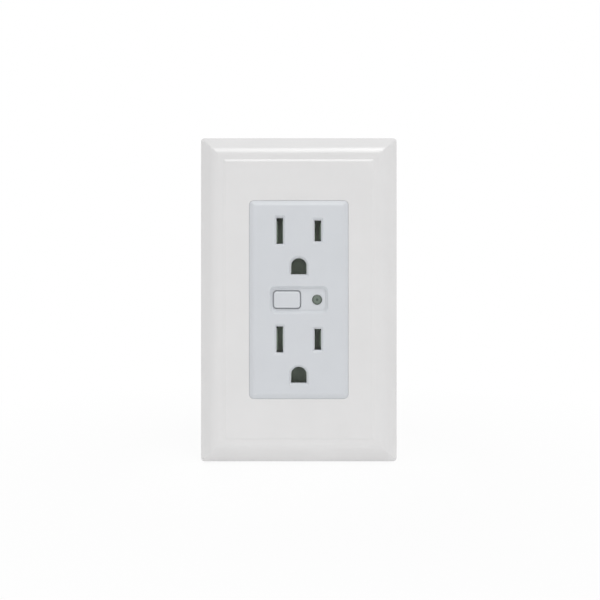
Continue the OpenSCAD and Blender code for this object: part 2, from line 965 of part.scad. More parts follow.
module tail(place) {
    translate([place[0], place[1], 0])
        block(-sheet_t / 2, sheet_t / 2, -tail_h / 2, tail_h / 2,
            ledge_z + tail_short, sheet_t / 2 - contact_depth);
}

// Arm from the contact's strap to an upright plate that takes the terminal screw
module terminal_arm() {
    translate([0, terminal_y, 0])
        difference() {
            along_y(terminal_arm_h)
                polygon(strip([
                    [strap_in, strap_z],
                    [terminal_x - sheet_t / 2, strap_z],
                    [terminal_x - sheet_t / 2, -terminal_top]
                ], sheet_t));
            translate([terminal_x, 0, terminal_z])
                side_rod(terminal_screw_d + 2 * screw_play, -2 * sheet_t, sheet_t);
        }
}

module hot_contact_upper() {
    color("goldenrod") {
        translate([blade_x, upper_blade_y, 0])
            clip(clip_c, clip_spread, hot_clip_h);
        strap(strap_in, strap_out, terminal_y - terminal_arm_h / 2,
            upper_blade_y + hot_clip_h / 2 + strap_over);
        terminal_arm();
        tail(tails[0]);
    }
}

module hot_contact_lower() {
    color("goldenrod") {
        translate([blade_x, lower_blade_y, 0])
            clip(clip_c, clip_spread, hot_clip_h);
        strap(strap_in, tail_x + sheet_t, lower_blade_y - hot_clip_h / 2,
            lower_blade_y + hot_clip_h / 2 + lower_strap_over);
        tail(tails[1]);
    }
}

module neutral_bus() {
    color("darkgoldenrod")
        mirror([1, 0, 0]) {
            for (y = blade_rows)
                translate([blade_x, y, 0])
                    clip(clip_c, clip_spread, neutral_clip_h);
            strap(strap_in, strap_out, lower_blade_y - neutral_clip_h / 2,
                upper_blade_y + neutral_clip_h / 2 + strap_over);
            terminal_arm();
            tail(tails[0]);
        }
}

module ground_bus() {
    color("peru")
        difference() {
            union() {
                for (y = ground_rows)
                    translate([0, y, 0])
                        clip(ground_c, ground_spread, ground_clip_h);
                along_x(ground_strap_w)
                    polygon(strip([
                        [-ground_foot_y, -sheet_t / 2],
                        [sheet_t / 2 - ground_leg_y, -sheet_t / 2],
                        [sheet_t / 2 - ground_leg_y, strap_z],
                        [ground_rows[0] + ground_clip_h / 2 + strap_over, strap_z]
                    ], sheet_t));
                block(-ground_foot_w / 2, ground_foot_w / 2, -ground_leg_y, -ground_foot_y, -sheet_t, 0);
            }
            for (s = ends)
                translate([s * rivet_x, rivet_y, 0])
                    rod(rivet_d + 2 * screw_play, -sheet_t - lap, lap);
        }
}

module ground_rivets() {
    color("silver")
        for (s = ends)
            translate([s * rivet_x, rivet_y, 0]) {
                rod(rivet_d, -sheet_t - rivet_head_t / 2, yoke_t);
                rod(rivet_head_d, -sheet_t - rivet_head_t, -sheet_t);
            }
}

// Terminals: each is drawn with the outer face of its plate at the origin and the head along x

module terminal_screw() {
    difference() {
        union() {
            side_rod(terminal_screw_d, terminal_head_x - terminal_shank,
                terminal_head_x + terminal_head_t / 2);
            side_rod(terminal_head_d, terminal_head_x, terminal_head_x + terminal_head_t);
        }
        block(terminal_head_x + terminal_head_t / 2, terminal_head_x + terminal_head_t + lap,
            -slot_cut / 2, slot_cut / 2, -terminal_head_d, terminal_head_d);
    }
}

module clamp_plate() {
    difference() {
        block(seat_play, seat_play + clamp_t, -clamp_side / 2, clamp_side / 2,
            -clamp_side / 2, clamp_side / 2);
        side_rod(terminal_screw_d + 2 * slide_play, -lap, clamp_t + lap);
        for (s = ends)
            translate([seat_play - wire_groove_d / 4, s * wire_y, 0])
                rod(wire_groove_d, -clamp_side, clamp_side);
    }
}

module at_hot_terminal() {
    translate([terminal_x, terminal_y, terminal_z])
        children();
}

module at_neutral_terminal() {
    translate([-terminal_x, terminal_y, terminal_z])
        mirror([1, 0, 0])
            children();
}

module at_ground_terminal() {
    translate([-ground_tab_x, tab_y, ground_screw_z])
        mirror([1, 0, 0])
            children();
}

module hot_terminal_screw() {
    color("gold")
        at_hot_terminal()
            terminal_screw();
}

module hot_clamp_plate() {
    color("goldenrod")
        at_hot_terminal()
            clamp_plate();
}

module neutral_terminal_screw() {
    color("silver")
        at_neutral_terminal()
            terminal_screw();
}

module neutral_clamp_plate() {
    color("lightgray")
        at_neutral_terminal()
            clamp_plate();
}

module ground_terminal_screw() {
    color("seagreen")
        at_ground_terminal()
            terminal_screw();
}

module ground_clamp_plate() {
    color("silver")
        at_ground_terminal()
            clamp_plate();
}

// Boards and what stands on them

module at_header_pins() {
    for (i = [0:header_pins - 1])
        translate([header_x, control_y + (i - (header_pins - 1) / 2) * header_pitch, 0])
            children();
}

module pin_holes(z0, z1) {
    at_header_pins()
        block(-pin_w / 2 - screw_play, pin_w / 2 + screw_play,
            -pin_w / 2 - screw_play, pin_w / 2 + screw_play, z0, z1);
}

module main_board() {
    color("darkgreen")
        difference() {
            slab(board_outline, ledge_z, board_front);
            column_notches(ledge_z - lap, board_front + lap);
            tail_slots(ledge_z - lap, board_front + lap);
            wire_holes(ledge_z - lap, board_front + lap);
            pin_holes(ledge_z - lap, board_front + lap);
        }
}

module control_board() {
    color("green")
        difference() {
            translate([0, control_y, 0])
                slab(rounded_rect(control_w, control_h, board_r), control_back, control_front);
            pin_holes(control_back - lap, control_front + lap);
        }
}

module board_header() {
    color("black") {
        translate([header_x, control_y, 0])
            block(-header_w / 2, header_w / 2, -header_l / 2, header_l / 2, board_front, control_back);
        at_header_pins()
            block(-pin_w / 2, pin_w / 2, -pin_w / 2, pin_w / 2, ledge_z, control_front + pin_proud);
    }
}

module tact_switch_body() {
    color("black")
        translate([-button_offset, 0, 0])
            difference() {
                slab(rounded_rect(tact_side, tact_side, case_r), control_front, control_front + tact_h);
                rod(plunger_d + 2 * plunger_play, plunger_top - plunger_h - button_travel - plunger_play,
                    control_front + tact_h + lap);
            }
}

module tact_switch_plunger() {
    color("white")
        translate([-button_offset, 0, 0])
            rod(plunger_d, plunger_top - plunger_h, plunger_top);
}

module status_led() {
    color("honeydew")
        translate([lens_offset, 0, 0]) {
            rod(lamp_d, control_front, control_front + lamp_h - lamp_d / 2);
            translate([0, 0, control_front + lamp_h - lamp_d / 2])
                sphere(d = lamp_d);
        }
}

// Relay

module in_relay() {
    translate([relay_x, relay_y, ledge_z])
        mirror([0, 0, 1])
            children();
}

module relay_base() {
    color("midnightblue")
        in_relay()
            slab(rounded_rect(relay_l, relay_w, case_r), 0, relay_base_t);
}

module relay_cover() {
    color("royalblue")
        in_relay()
            difference() {
                slab(rounded_rect(relay_l, relay_w, case_r), relay_base_t, relay_h);
                slab(rounded_rect(relay_l - 2 * relay_wall, relay_w - 2 * relay_wall, case_r / 2),
                    relay_base_t - lap, relay_h - relay_wall);
            }
}

module relay_frame() {
    color("silver")
        in_relay() {
            block(frame_u, coil_u + flange_side / 2, -frame_w / 2, frame_w / 2,
                relay_base_t, relay_base_t + frame_t);
            block(frame_u, frame_u + frame_t, -frame_w / 2, frame_w / 2,
                relay_base_t, armature_w - pass_play);
        }
}

module relay_coil() {
    color("darkorange")
        in_relay()
            translate([coil_u, 0, 0])
                difference() {
                    union() {
                        rod(coil_d, relay_base_t + frame_t, coil_top);
                        for (z = [relay_base_t + frame_t, coil_top - frame_t])
                            block(-flange_side / 2, flange_side / 2,
                                -flange_side / 2, flange_side / 2, z, z + frame_t);
                    }
                    rod(core_d + 2 * plunger_play, 0, coil_top + lap);
                }
}

module relay_core() {
    color("gray")
        in_relay()
            translate([coil_u, 0, 0]) {
                rod(core_d, relay_base_t + frame_t, pole_top);
                rod(pole_d, coil_top, pole_top);
            }
}

// Plate over the pole that rocks on its round edge
module relay_armature() {
    color("lightgray")
        in_relay() {
            block(hinge_u, coil_u + pole_d / 2 + armature_over, -frame_w / 2, frame_w / 2,
                armature_w, armature_w + armature_t);
            translate([hinge_u, 0, armature_w + armature_t / 2])
                rotate([90, 0, 0])
                    cylinder(d = pivot_d, h = frame_w, center = true);
        }
}

module relay_moving_contact() {
    color("goldenrod")
        in_relay() {
            block(coil_u, contact_u + contact_d * 2 / 3, -contact_d, contact_d,
                armature_w + armature_t, armature_w + armature_t + blade_spring_t);
            translate([contact_u, 0, 0])
                rod(contact_d, moving_face, armature_w + armature_t + blade_spring_t / 2);
        }
}

module relay_fixed_contact() {
    color("goldenrod")
        in_relay() {
            block(contact_u - contact_d * 2 / 3, fixed_u + fixed_sheet_t,
                -contact_d * 3 / 4, contact_d * 3 / 4, fixed_seat - fixed_sheet_t, fixed_seat);
            block(fixed_u, fixed_u + fixed_sheet_t,
                -contact_d * 3 / 4, contact_d * 3 / 4, relay_base_t, fixed_seat);
            translate([contact_u, 0, 0])
                rod(contact_d, fixed_seat - fixed_sheet_t / 2, fixed_seat + fixed_h);
        }
}

// Power supply and radio, on the back and front of the main board

module behind_board(x, y) {
    translate([x, y, ledge_z])
        mirror([0, 0, 1])
            children();
}

module power_transformer() {
    color("olive")
        behind_board(transformer_x, transformer_y) {
            slab(rounded_rect(transformer_l, transformer_w, case_r), 0, relay_base_t);
            slab(rounded_rect(transformer_l - core_step, transformer_w, core_step / 2),
                relay_base_t - lap / 2, transformer_h - core_step / 2);
            difference() {
                slab(rounded_rect(transformer_l, transformer_w - core_step, case_r),
                    relay_base_t - lap / 2, transformer_h);
                block(-transformer_l, transformer_l, -core_groove_w / 2, core_groove_w / 2,
                    transformer_h - core_groove, transformer_h + lap);
            }
        }
}

module filter_capacitors() {
    color("navy")
        for (y = can_rows)
            behind_board(can_x, y) {
                rod(can_d, 0, can_bead);
                rod(can_d - 2 * can_groove, can_bead - lap / 2, 2 * can_bead);
                rod(can_d, can_bead + 2 * can_groove, can_h);
            }
}

module film_capacitor() {
    color("gold")
        behind_board(film_x, film_y)
            slab(rounded_rect(film_w, film_l, case_r), 0, film_h);
}

module varistor() {
    color("steelblue")
        behind_board(varistor_x, varistor_y) {
            translate([0, 0, varistor_d / 2 + varistor_lift])
                side_rod(varistor_d, -varistor_t / 2, varistor_t / 2);
            for (s = ends)
                translate([0, s * varistor_d / 4, 0])
                    rod(lead_d, 0, varistor_d / 2);
        }
}

module fuse() {
    color("lightyellow")
        behind_board(fuse_x, fuse_y)
            translate([0, 0, fuse_cap_d / 2]) {
                side_rod(fuse_cap_d - 2 * can_groove, -fuse_l / 2, fuse_l / 2);
                for (s = ends)
                    translate([s * (fuse_l / 2 - fuse_cap_l / 2), 0, 0])
                        side_rod(fuse_cap_d, -fuse_cap_l / 2, fuse_cap_l / 2);
            }
}

module radio_module() {
    color("teal")
        translate([0, radio_y, board_front]) {
            slab(rounded_rect(radio_w, radio_h, case_r), 0, radio_board_t);
            slab(rounded_rect(radio_w - radio_margin, radio_h - radio_margin, case_r),
                radio_board_t / 2, radio_t);
        }
}

upright() wall_plate_cover();
upright() mounting_subplate();
upright() subplate_screws();
upright() yoke();
upright() mounting_screws();
upright() screw_retainers();
upright() front_face();
upright() push_button();
upright() indicator_lens();
upright() rear_housing();
upright() assembly_screws();
upright() contact_carrier();
upright() hot_contact_upper();
upright() hot_contact_lower();
upright() neutral_bus();
upright() ground_bus();
upright() ground_rivets();
upright() hot_terminal_screw();
upright() hot_clamp_plate();
upright() neutral_terminal_screw();
upright() neutral_clamp_plate();
upright() ground_terminal_screw();
upright() ground_clamp_plate();
upright() main_board();
upright() control_board();
upright() board_header();
upright() tact_switch_body();
upright() tact_switch_plunger();
upright() status_led();
upright() relay_base();
upright() relay_cover();
upright() relay_frame();
upright() relay_coil();
upright() relay_core();
upright() relay_armature();
upright() relay_moving_contact();
upright() relay_fixed_contact();
upright() power_transformer();
upright() filter_capacitors();
upright() film_capacitor();
upright() varistor();
upright() fuse();
upright() radio_module();
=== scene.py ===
import math

import bmesh
import bpy
from mathutils import Matrix, Vector


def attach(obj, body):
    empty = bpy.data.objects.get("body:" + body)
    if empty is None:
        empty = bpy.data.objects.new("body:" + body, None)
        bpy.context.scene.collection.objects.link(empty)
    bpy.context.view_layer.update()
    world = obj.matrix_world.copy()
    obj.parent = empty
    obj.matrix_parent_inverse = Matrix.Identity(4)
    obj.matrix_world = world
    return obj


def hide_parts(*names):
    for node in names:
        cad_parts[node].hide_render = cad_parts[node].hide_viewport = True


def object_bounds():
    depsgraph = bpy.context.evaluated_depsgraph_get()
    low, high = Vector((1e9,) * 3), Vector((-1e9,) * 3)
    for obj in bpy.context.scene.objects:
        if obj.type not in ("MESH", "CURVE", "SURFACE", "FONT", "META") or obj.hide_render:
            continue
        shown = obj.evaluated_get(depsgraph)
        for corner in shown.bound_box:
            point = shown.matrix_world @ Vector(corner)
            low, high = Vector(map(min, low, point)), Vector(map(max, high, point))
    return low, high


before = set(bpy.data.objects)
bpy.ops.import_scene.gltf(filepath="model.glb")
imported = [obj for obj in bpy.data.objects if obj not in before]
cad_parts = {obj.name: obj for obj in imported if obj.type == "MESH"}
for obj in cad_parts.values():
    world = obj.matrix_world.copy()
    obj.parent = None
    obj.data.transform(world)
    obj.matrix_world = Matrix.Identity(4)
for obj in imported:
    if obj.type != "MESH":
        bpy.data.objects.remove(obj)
cad_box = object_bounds()

# Sizes in millimetres, in the plane of the wall: x right, y up, z out of the wall.
MM = 0.001
ENDS = (-1, 1)
CORNERS = [(sx, sy) for sx in ENDS for sy in ENDS]

# Wall plate, from the outside in: a rim, a bevel, a crease, a level border, a step and the flat.
PLATE_W, PLATE_H, PLATE_R = 66.6, 110.0, 1.2
PLATE_DEPTH, PLATE_WALL = 6.2, 1.4
RIM_H, RIM_EDGE_R, RIM_INNER_R = 2.3, 0.35, 0.3
BEVEL_RUN, CREASE_R, BORDER_RUN = 4.8, 5.0, 3.3
STEP_RUN, STEP_RISE, STEP_R = 0.8, 0.18, 0.7
BORDER_X, BORDER_Z = BEVEL_RUN + BORDER_RUN, PLATE_DEPTH - STEP_RISE
FLAT_INSET, FLAT_FRONT, FLAT_BACK = 12, 3, 4  # rings of the flat, from the rim and from the window
COLLAR_DEPTH, COLLAR_RADII, PLATE_GAP = 3.4, (0.12, 0.15, 0.15, 0.2), 0.03
TAB_X, TAB_T, TAB_H, TAB_FOOT = 24.0, 1.2, 6.0, 0.4
TAB_BARB, TAB_PLAY = 0.3, 0.3

# Device face, with its edge a soft slope from the foot up to the front.
FACE_W, FACE_H, FACE_R, FACE_SIDE = 33.0, 66.1, 1.5, 1.6
YOKE_T, FACE_FRONT, FACE_INNER = 1.2, 7.0, 5.0
FACE_EDGE_FOOT, FACE_EDGE_RUN, FACE_EDGE_LAND, FACE_EDGE_RADII = 6.1, 1.4, 0.9, (0.2, 2.2)
BLADE_X, BLADE_ROWS, GROUND_DROP = 6.35, (22.95, -13.25), 11.8
SLOT_W, SLOT_R, NEUTRAL_H, HOT_H = 2.2, 0.12, 8.7, 7.0
SLOT_CHAMFER, MOUTH_LAND, MOUTH_RADII = 0.7, 0.2, (0.16, 0.1)
GROUND_W, GROUND_H = 5.2, 5.4
SCREW_X, SCREW_Y = 13.4, 28.2
BOSS_D, BOSS_BORE, BOSS_END, BOSS_ROOT = 5.2, 2.9, 4.5, 0.5

# Recessed panel with the button and the lens.
PANEL_W, PANEL_H, PANEL_R, PANEL_DEPTH, PANEL_SLOPE = 19.5, 9.0, 1.8, 0.9, 0.75
PANEL_LAND, PANEL_FOOT, PANEL_RADII = 0.25, 0.13, (0.3, 0.2)
PANEL_FLOOR = FACE_FRONT - PANEL_DEPTH
FLOOR_LAND, FLOOR_EDGE_R = 0.11, 0.04
BUTTON_X, BUTTON_W, BUTTON_H, BUTTON_R, BUTTON_GAP = -3.95, 8.8, 5.6, 1.0, 0.35
BUTTON_TOP, BUTTON_EDGE, BUTTON_CROWN, BUTTON_CROWN_RUN = 6.7, 0.5, 0.05, 1.1
FLANGE_TOP, FLANGE_T, FLANGE_LIP, FLANGE_RADII = 4.85, 0.8, 1.1, (0.12, 0.08)
STEM_D, STEM_FOOT, STEM_CHAMFER = 2.4, 2.25, 0.2
LENS_X, LENS_D, LENS_GAP, LENS_PROUD, LENS_DOME = 6.1, 3.3, 0.05, 0.4, 0.3
LENS_FLANGE_T, LENS_FOOT = 0.8, 1.4

# Seats of the screws' heads.
BOX_SCREW_Y, CASE_SCREW_Z = 41.67, -11
PLATE_SCREW_Y, PLATE_SCREW_Z = 48.4, 1.4
TERMINAL_X, TERMINAL_Y, TERMINAL_Z = 17.5, 12.0, -4.8
GROUND_TAB_X, GROUND_TAB_Y, GROUND_TAB_Z = 14.2, -40.5, -5.5
CLAMP_T = 1.3


def wall(x, y, z):
    return Vector((x, -z, y)) * MM


# Finishes


class Finish:
    """One shader whose colour, roughness and relief come from patterns in Object coordinates."""

    def __init__(self, name, metallic=0.0, ior=1.5, coat=0.0, coat_rough=0.1):
        self.material = bpy.data.materials.new(name)
        self.material.use_nodes = True
        self.nodes = self.material.node_tree.nodes
        self.shader = self.nodes["Principled BSDF"]
        self.place = self.node("ShaderNodeTexCoord").outputs["Object"]
        self.set("Metallic", metallic)
        self.set("IOR", ior)
        self.set("Coat Weight", coat)
        self.set("Coat Roughness", coat_rough)
        self.relief = None

    def set(self, socket, value):
        self.shader.inputs[socket].default_value = value

    def node(self, kind, **inputs):
        made = self.nodes.new(kind)
        for socket, value in inputs.items():
            self.feed(made.inputs[socket.replace("_", " ")], value)
        return made

    def feed(self, socket, value):
        if isinstance(value, bpy.types.NodeSocket):
            self.material.node_tree.links.new(value, socket)
        else:
            socket.default_value = value

    def stretched(self, scale):
        return self.node("ShaderNodeMapping", Vector=self.place, Scale=scale).outputs[0]

    def turned(self, turn):
        return self.node("ShaderNodeMapping", Vector=self.place, Rotation=turn).outputs[0]

    def noise(self, scale, detail=3.0, at=None):
        made = self.node("ShaderNodeTexNoise", Vector=at or self.place, Scale=scale, Detail=detail)
        return made.outputs["Fac"]

    def ramp(self, value, stops):
        made = self.node("ShaderNodeValToRGB", Fac=value)
        points = made.color_ramp.elements
        while len(points) < len(stops):
            points.new(0.5)
        for point, (position, colour) in zip(points, stops):
            point.position = position
            point.color = (*colour, 1)
        return made.outputs["Color"]

    def blend(self, amount, first, second, mode="MIX"):
        made = self.nodes.new("ShaderNodeMix")
        made.data_type = "RGBA"
        made.blend_type = mode
        factor, a, b = (made.inputs[i] for i in (0, 6, 7))
        for socket, value in ((factor, amount), (a, first), (b, second)):
            self.feed(socket, (*value, 1) if isinstance(value, tuple) else value)
        return made.outputs[2]

    def colour(self, value):
        self.feed(self.shader.inputs["Base Color"], value)

    def mottle(self, tone, spread, scale):
        """A base tone that wanders a little lighter and darker over the piece."""
        dark = tuple(c * (1 - spread) for c in tone)
        light = tuple(min(1, c * (1 + spread)) for c in tone)
        return self.ramp(self.noise(scale), ((0.3, dark), (0.7, light)))

    def rough(self, low, high, scale, at=None):
        noise = self.noise(scale, 2.0, at)
        made = self.node("ShaderNodeMapRange", Value=noise, To_Min=low, To_Max=high)
        self.feed(self.shader.inputs["Roughness"], made.outputs[0])

    def bump(self, height, depth, strength):
        """Relief of a depth in millimetres, on top of the relief so far."""
        made = self.node("ShaderNodeBump", Height=height, Distance=depth * MM, Strength=strength)
        if self.relief:
            self.feed(made.inputs["Normal"], self.relief)
        self.relief = made.outputs["Normal"]
        self.feed(self.shader.inputs["Normal"], self.relief)
        return self


def moulded_plastic(name, tone, rough=(0.34, 0.44), grain=1.0):
    """Satin moulded plastic: a slow drift of tone, a trace of sink and fine spark-eroded grain."""
    f = Finish(name, ior=1.49)
    f.colour(f.mottle(tone, spread=0.012, scale=90))
    f.rough(*rough, scale=700)
    f.bump(f.noise(scale=60, detail=1.0), depth=0.02, strength=0.25)
    return f.bump(f.noise(scale=2600), depth=0.006 * grain, strength=0.6)


def plated_metal(name, tone, rough=(0.22, 0.4), along=(1, 1, 1), spangle=0.0, metallic=1.0):
    """Plated or drawn metal with hairline drawing marks and a cloudy tone."""
    f = Finish(name, metallic=metallic)
    hairs = f.noise(scale=900, detail=4.0, at=f.stretched(along))
    tint = f.mottle(tone, spread=0.08, scale=220)
    if spangle:
        cells = f.node("ShaderNodeTexVoronoi", Vector=f.place, Scale=spangle).outputs["Color"]
        tint = f.blend(0.12, tint, cells, "OVERLAY")
    f.colour(tint)
    f.rough(*rough, scale=500, at=f.stretched(along))
    return f.bump(hairs, depth=0.008, strength=0.35)


def laminate():
    """Circuit board: green mask over glass weave, with paler tracks."""
    f = Finish("board_laminate", coat=0.3)
    flat_on = f.turned((math.pi / 2, 0, 0))
    bricks = f.node("ShaderNodeTexBrick", Vector=flat_on, Scale=420.0, Mortar_Size=0.06,
                    Mortar_Smooth=0.1)
    tracks = bricks.outputs["Fac"]
    weave = f.node("ShaderNodeTexChecker", Vector=flat_on, Scale=3600.0).outputs["Fac"]
    mask = f.mottle((0.020, 0.115, 0.050), spread=0.15, scale=160)
    f.colour(f.blend(tracks, mask, (0.055, 0.21, 0.085)))
    f.rough(0.3, 0.42, scale=900)
    f.bump(weave, depth=0.004, strength=0.3)
    return f.bump(tracks, depth=0.02, strength=0.4)


def winding(name, tone, pitch):
    """Enamelled wire wound in close turns."""
    f = Finish(name, metallic=0.7, coat=0.4)
    bands_per_unit = 3.2
    waves = f.node("ShaderNodeTexWave", Vector=f.place, Scale=1 / (pitch * MM) / bands_per_unit)
    waves.bands_direction = "Y"
    turns = waves.outputs["Fac"]
    shade = tuple(c * 0.45 for c in tone)
    f.colour(f.blend(turns, shade, f.mottle(tone, spread=0.1, scale=300)))
    f.rough(0.25, 0.4, scale=600)
    return f.bump(turns, depth=0.06, strength=0.8)


def smoked_lens():
    """Smoked clear plastic, with painted shade darkening the middle, where the light pipe shows,
    and the rim.
    """
    f = Finish("lens_smoke", ior=1.49, coat=0.5, coat_rough=0.05)
    centred = f.node("ShaderNodeVectorMath", Vector=f.place)
    centred.operation = "MULTIPLY"
    centred.inputs[1].default_value = (1, 0, 1)
    apart = f.node("ShaderNodeVectorMath")
    apart.operation = "DISTANCE"
    f.feed(apart.inputs[0], centred.outputs[0])
    apart.inputs[1].default_value = (LENS_X * MM, 0, 0)
    share = f.node("ShaderNodeMapRange", Value=apart.outputs["Value"], From_Max=LENS_D / 2 * MM)
    # Painted shade: the stops are dark in the middle and at the rim, with the lens's own smoked
    # tone between.
    stops = ((0.0, (0.035, 0.05, 0.04)), (0.2, (0.05, 0.07, 0.055)), (0.34, (0.16, 0.2, 0.165)),
             (0.72, (0.135, 0.17, 0.14)), (0.92, (0.06, 0.075, 0.062)))
    clouds = f.mottle((0.12, 0.16, 0.125), spread=0.3, scale=1800)
    f.colour(f.blend(0.25, f.ramp(share.outputs[0], stops), clouds))
    f.rough(0.12, 0.24, scale=1500)
    return f.bump(f.noise(scale=1400, detail=2.0), depth=0.01, strength=0.4)


def sleeved_can():
    """Shrink sleeve of a can with a pale stripe down one side."""
    f = Finish("can_sleeve", coat=0.5)
    across = f.node("ShaderNodeSeparateXYZ", Vector=f.place).outputs["X"]
    stripe = f.node("ShaderNodeMapRange", Value=across, From_Min=8.2 * MM, From_Max=8.4 * MM)
    sleeve = f.mottle((0.02, 0.03, 0.11), spread=0.12, scale=200)
    f.colour(f.blend(stripe.outputs[0], sleeve, (0.55, 0.6, 0.66)))
    f.rough(0.22, 0.34, scale=600)
    return f.bump(f.noise(scale=500, detail=2.0), depth=0.02, strength=0.3)


def dipped_epoxy(name, tone):
    """Dipped epoxy skin with a soft orange-peel surface."""
    f = Finish(name, coat=0.6)
    f.colour(f.mottle(tone, spread=0.1, scale=260))
    f.rough(0.2, 0.36, scale=500)
    return f.bump(f.noise(scale=420), depth=0.06, strength=0.5)


def pressed_fibre():
    """Pressed fibre with stray darker hairs."""
    f = Finish("fibre")
    hairs = f.noise(scale=1800, detail=5.0, at=f.stretched((1, 0.15, 1)))
    base = f.mottle((0.46, 0.33, 0.2), spread=0.12, scale=400)
    f.colour(f.blend(hairs, base, (0.3, 0.2, 0.11)))
    f.rough(0.75, 0.92, scale=900)
    return f.bump(hairs, depth=0.04, strength=0.7)


PLASTICS = {  # tone, range of roughness, grain
    "plate_plastic": ((0.79, 0.785, 0.785), (0.2, 0.27), 0.6),
    "subplate_plastic": ((0.70, 0.70, 0.69), (0.42, 0.55), 1.6),
    "face_plastic": ((0.672, 0.694, 0.725), (0.36, 0.46), 0.8),
    "button_plastic": ((0.676, 0.698, 0.729), (0.36, 0.46), 0.8),
    "housing_plastic": ((0.055, 0.057, 0.06), (0.42, 0.58), 2.2),
    "tray_plastic": ((0.76, 0.83, 0.74), (0.45, 0.6), 2.0),
    "carrier_plastic": ((0.07, 0.085, 0.09), (0.45, 0.6), 2.0),
    "plunger_plastic": ((0.72, 0.71, 0.67),),
    "relay_plastic": ((0.03, 0.09, 0.32), (0.3, 0.42), 1.4),
    "ferrite": ((0.035, 0.034, 0.036), (0.6, 0.78), 5.0),
    "fuse_ceramic": ((0.68, 0.66, 0.58), (0.3, 0.45)),
}
METALS = {  # tone, range of roughness, direction of the drawing marks, spangle, metallic
    "yoke_steel": ((0.60, 0.61, 0.63), (0.28, 0.46), (1, 1, 0.06), 260.0),
    "zinc_steel": ((0.64, 0.65, 0.68), (0.2, 0.34), (1, 1, 0.4)),
    "contact_brass": ((0.78, 0.86, 0.76), (0.55, 0.7), (1, 0.08, 1), 0.0, 0.3),
    # A darker copy of contact_brass for the ground bus: painted shade that dims the ground holes,
    # which let in more light than the blade slots.
    "ground_brass_painted_shade": ((0.68, 0.75, 0.67), (0.55, 0.7), (1, 0.08, 1), 0.0, 0.3),
    "screw_brass": ((0.78, 0.56, 0.22), (0.18, 0.32)),
    "screw_nickel": ((0.70, 0.69, 0.66), (0.16, 0.3)),
    "screw_green": ((0.06, 0.30, 0.12), (0.24, 0.38)),
    "radio_shield": ((0.66, 0.66, 0.65), (0.26, 0.4), (0.1, 1, 1)),
}
EPOXIES = {
    "led_epoxy": (0.66, 0.72, 0.66),
    "film_epoxy": (0.62, 0.40, 0.06),
    "varistor_epoxy": (0.03, 0.16, 0.40),
}
finishes = {
    **{name: moulded_plastic(name, *look) for name, look in PLASTICS.items()},
    **{name: plated_metal(name, *look) for name, look in METALS.items()},
    **{name: dipped_epoxy(name, tone) for name, tone in EPOXIES.items()},
    "lens_smoke": smoked_lens(),
    "board_laminate": laminate(),
    "coil_copper": winding("coil_copper", (0.62, 0.25, 0.09), pitch=0.24),
    "can_sleeve": sleeved_can(),
    "fibre": pressed_fibre(),
}


# Outlines and lofted shells

LEAST_R = 0.3
SLOT_R_GROWTH = 0.2
FINE_STEPS = 3
SUPPORT = 0.06
BLOCK_EDGE = 0.12
CREASE_ANGLE = math.radians(32)


def rounded_outline(w, h, r, at=(0, 0), steps=8):
    points = []
    for k, (sx, sy) in enumerate(((1, 1), (-1, 1), (-1, -1), (1, -1))):
        x, y = at[0] + sx * (w / 2 - r), at[1] + sy * (h / 2 - r)
        for i in range(steps + 1):
            a = math.pi / 2 * (k + i / steps)
            points.append((x + r * math.cos(a), y + r * math.sin(a)))
    return points


def round_outline(r, at=(0, 0), steps=48):
    turn = [2 * math.pi * i / steps for i in range(steps)]
    return [(at[0] + r * math.cos(a), at[1] + r * math.sin(a)) for a in turn]


def plate_outline(inset):
    return rounded_outline(PLATE_W - 2 * inset, PLATE_H - 2 * inset, max(PLATE_R - inset, LEAST_R))


def window_outline(grow):
    return rounded_outline(FACE_W + 2 * grow, FACE_H + 2 * grow, max(FACE_R + grow, LEAST_R))


def slot_outline(h, at):
    def grown(grow):
        r = SLOT_R + max(grow, 0) * SLOT_R_GROWTH
        return rounded_outline(SLOT_W + 2 * grow, h + 2 * grow, r, at, FINE_STEPS)

    return grown


def ground_outline(at, steps=24):
    def grown(grow):
        r = GROUND_W / 2 + grow
        foot, crown = at[1] - GROUND_H / 2 - grow, at[1] + GROUND_H / 2 + grow - r
        arch = [math.pi * i / steps for i in range(steps + 1)]
        return [(at[0] - r, foot), (at[0] + r, foot)] + [
            (at[0] + r * math.cos(a), crown + r * math.sin(a)) for a in arch
        ]

    return grown


def panel_outline(inset):
    return rounded_outline(PANEL_W - 2 * inset, PANEL_H - 2 * inset, PANEL_R - inset / 2)


def button_hole_outline(grow):
    wider = BUTTON_GAP + grow
    return rounded_outline(BUTTON_W + 2 * wider, BUTTON_H + 2 * wider, BUTTON_R + BUTTON_GAP + grow,
                           (BUTTON_X, 0))


def lens_hole_outline(grow):
    return round_outline(LENS_D / 2 + LENS_GAP + grow, (LENS_X, 0))


def button_outline(inset):
    shrink, least_r = 0.8, 0.25
    r = max(BUTTON_R - inset * shrink, least_r)
    return rounded_outline(BUTTON_W - 2 * inset, BUTTON_H - 2 * inset, r, (BUTTON_X, 0))


def eased(points, radii, steps=5):
    """The bends of a line of (inset, level) points rounded, with a close support on each side."""
    line = [Vector(points[0])]
    for before, bend, after, r in zip(points, points[1:], points[2:], radii):
        v = Vector(bend)
        p, q = (Vector(before) - v).normalized(), (Vector(after) - v).normalized()
        half = p.angle(q) / 2
        centre = v + (p + q).normalized() * r / math.sin(half)
        start = v + p * r / math.tan(half) - centre
        turn = start.angle_signed(v + q * r / math.tan(half) - centre)
        line.append(centre + start + p * SUPPORT)
        for i in range(steps + 1):
            line.append(centre + Matrix.Rotation(-turn * i / steps, 2) @ start)
        line.append(line[-1] + q * SUPPORT)
    return line + [Vector(points[-1])]


def ring(bm, outline, z):
    return [bm.verts.new(wall(x, y, z)) for x, y in outline]


def rings_along(bm, outline, line):
    """Rings of an outline that grows or shrinks along a line of (inset, level) points."""
    return [ring(bm, outline(d), z) for d, z in line]


def band(bm, first, second):
    for i in range(len(first)):
        j = (i + 1) % len(first)
        bm.faces.new((first[i], first[j], second[j], second[i]))


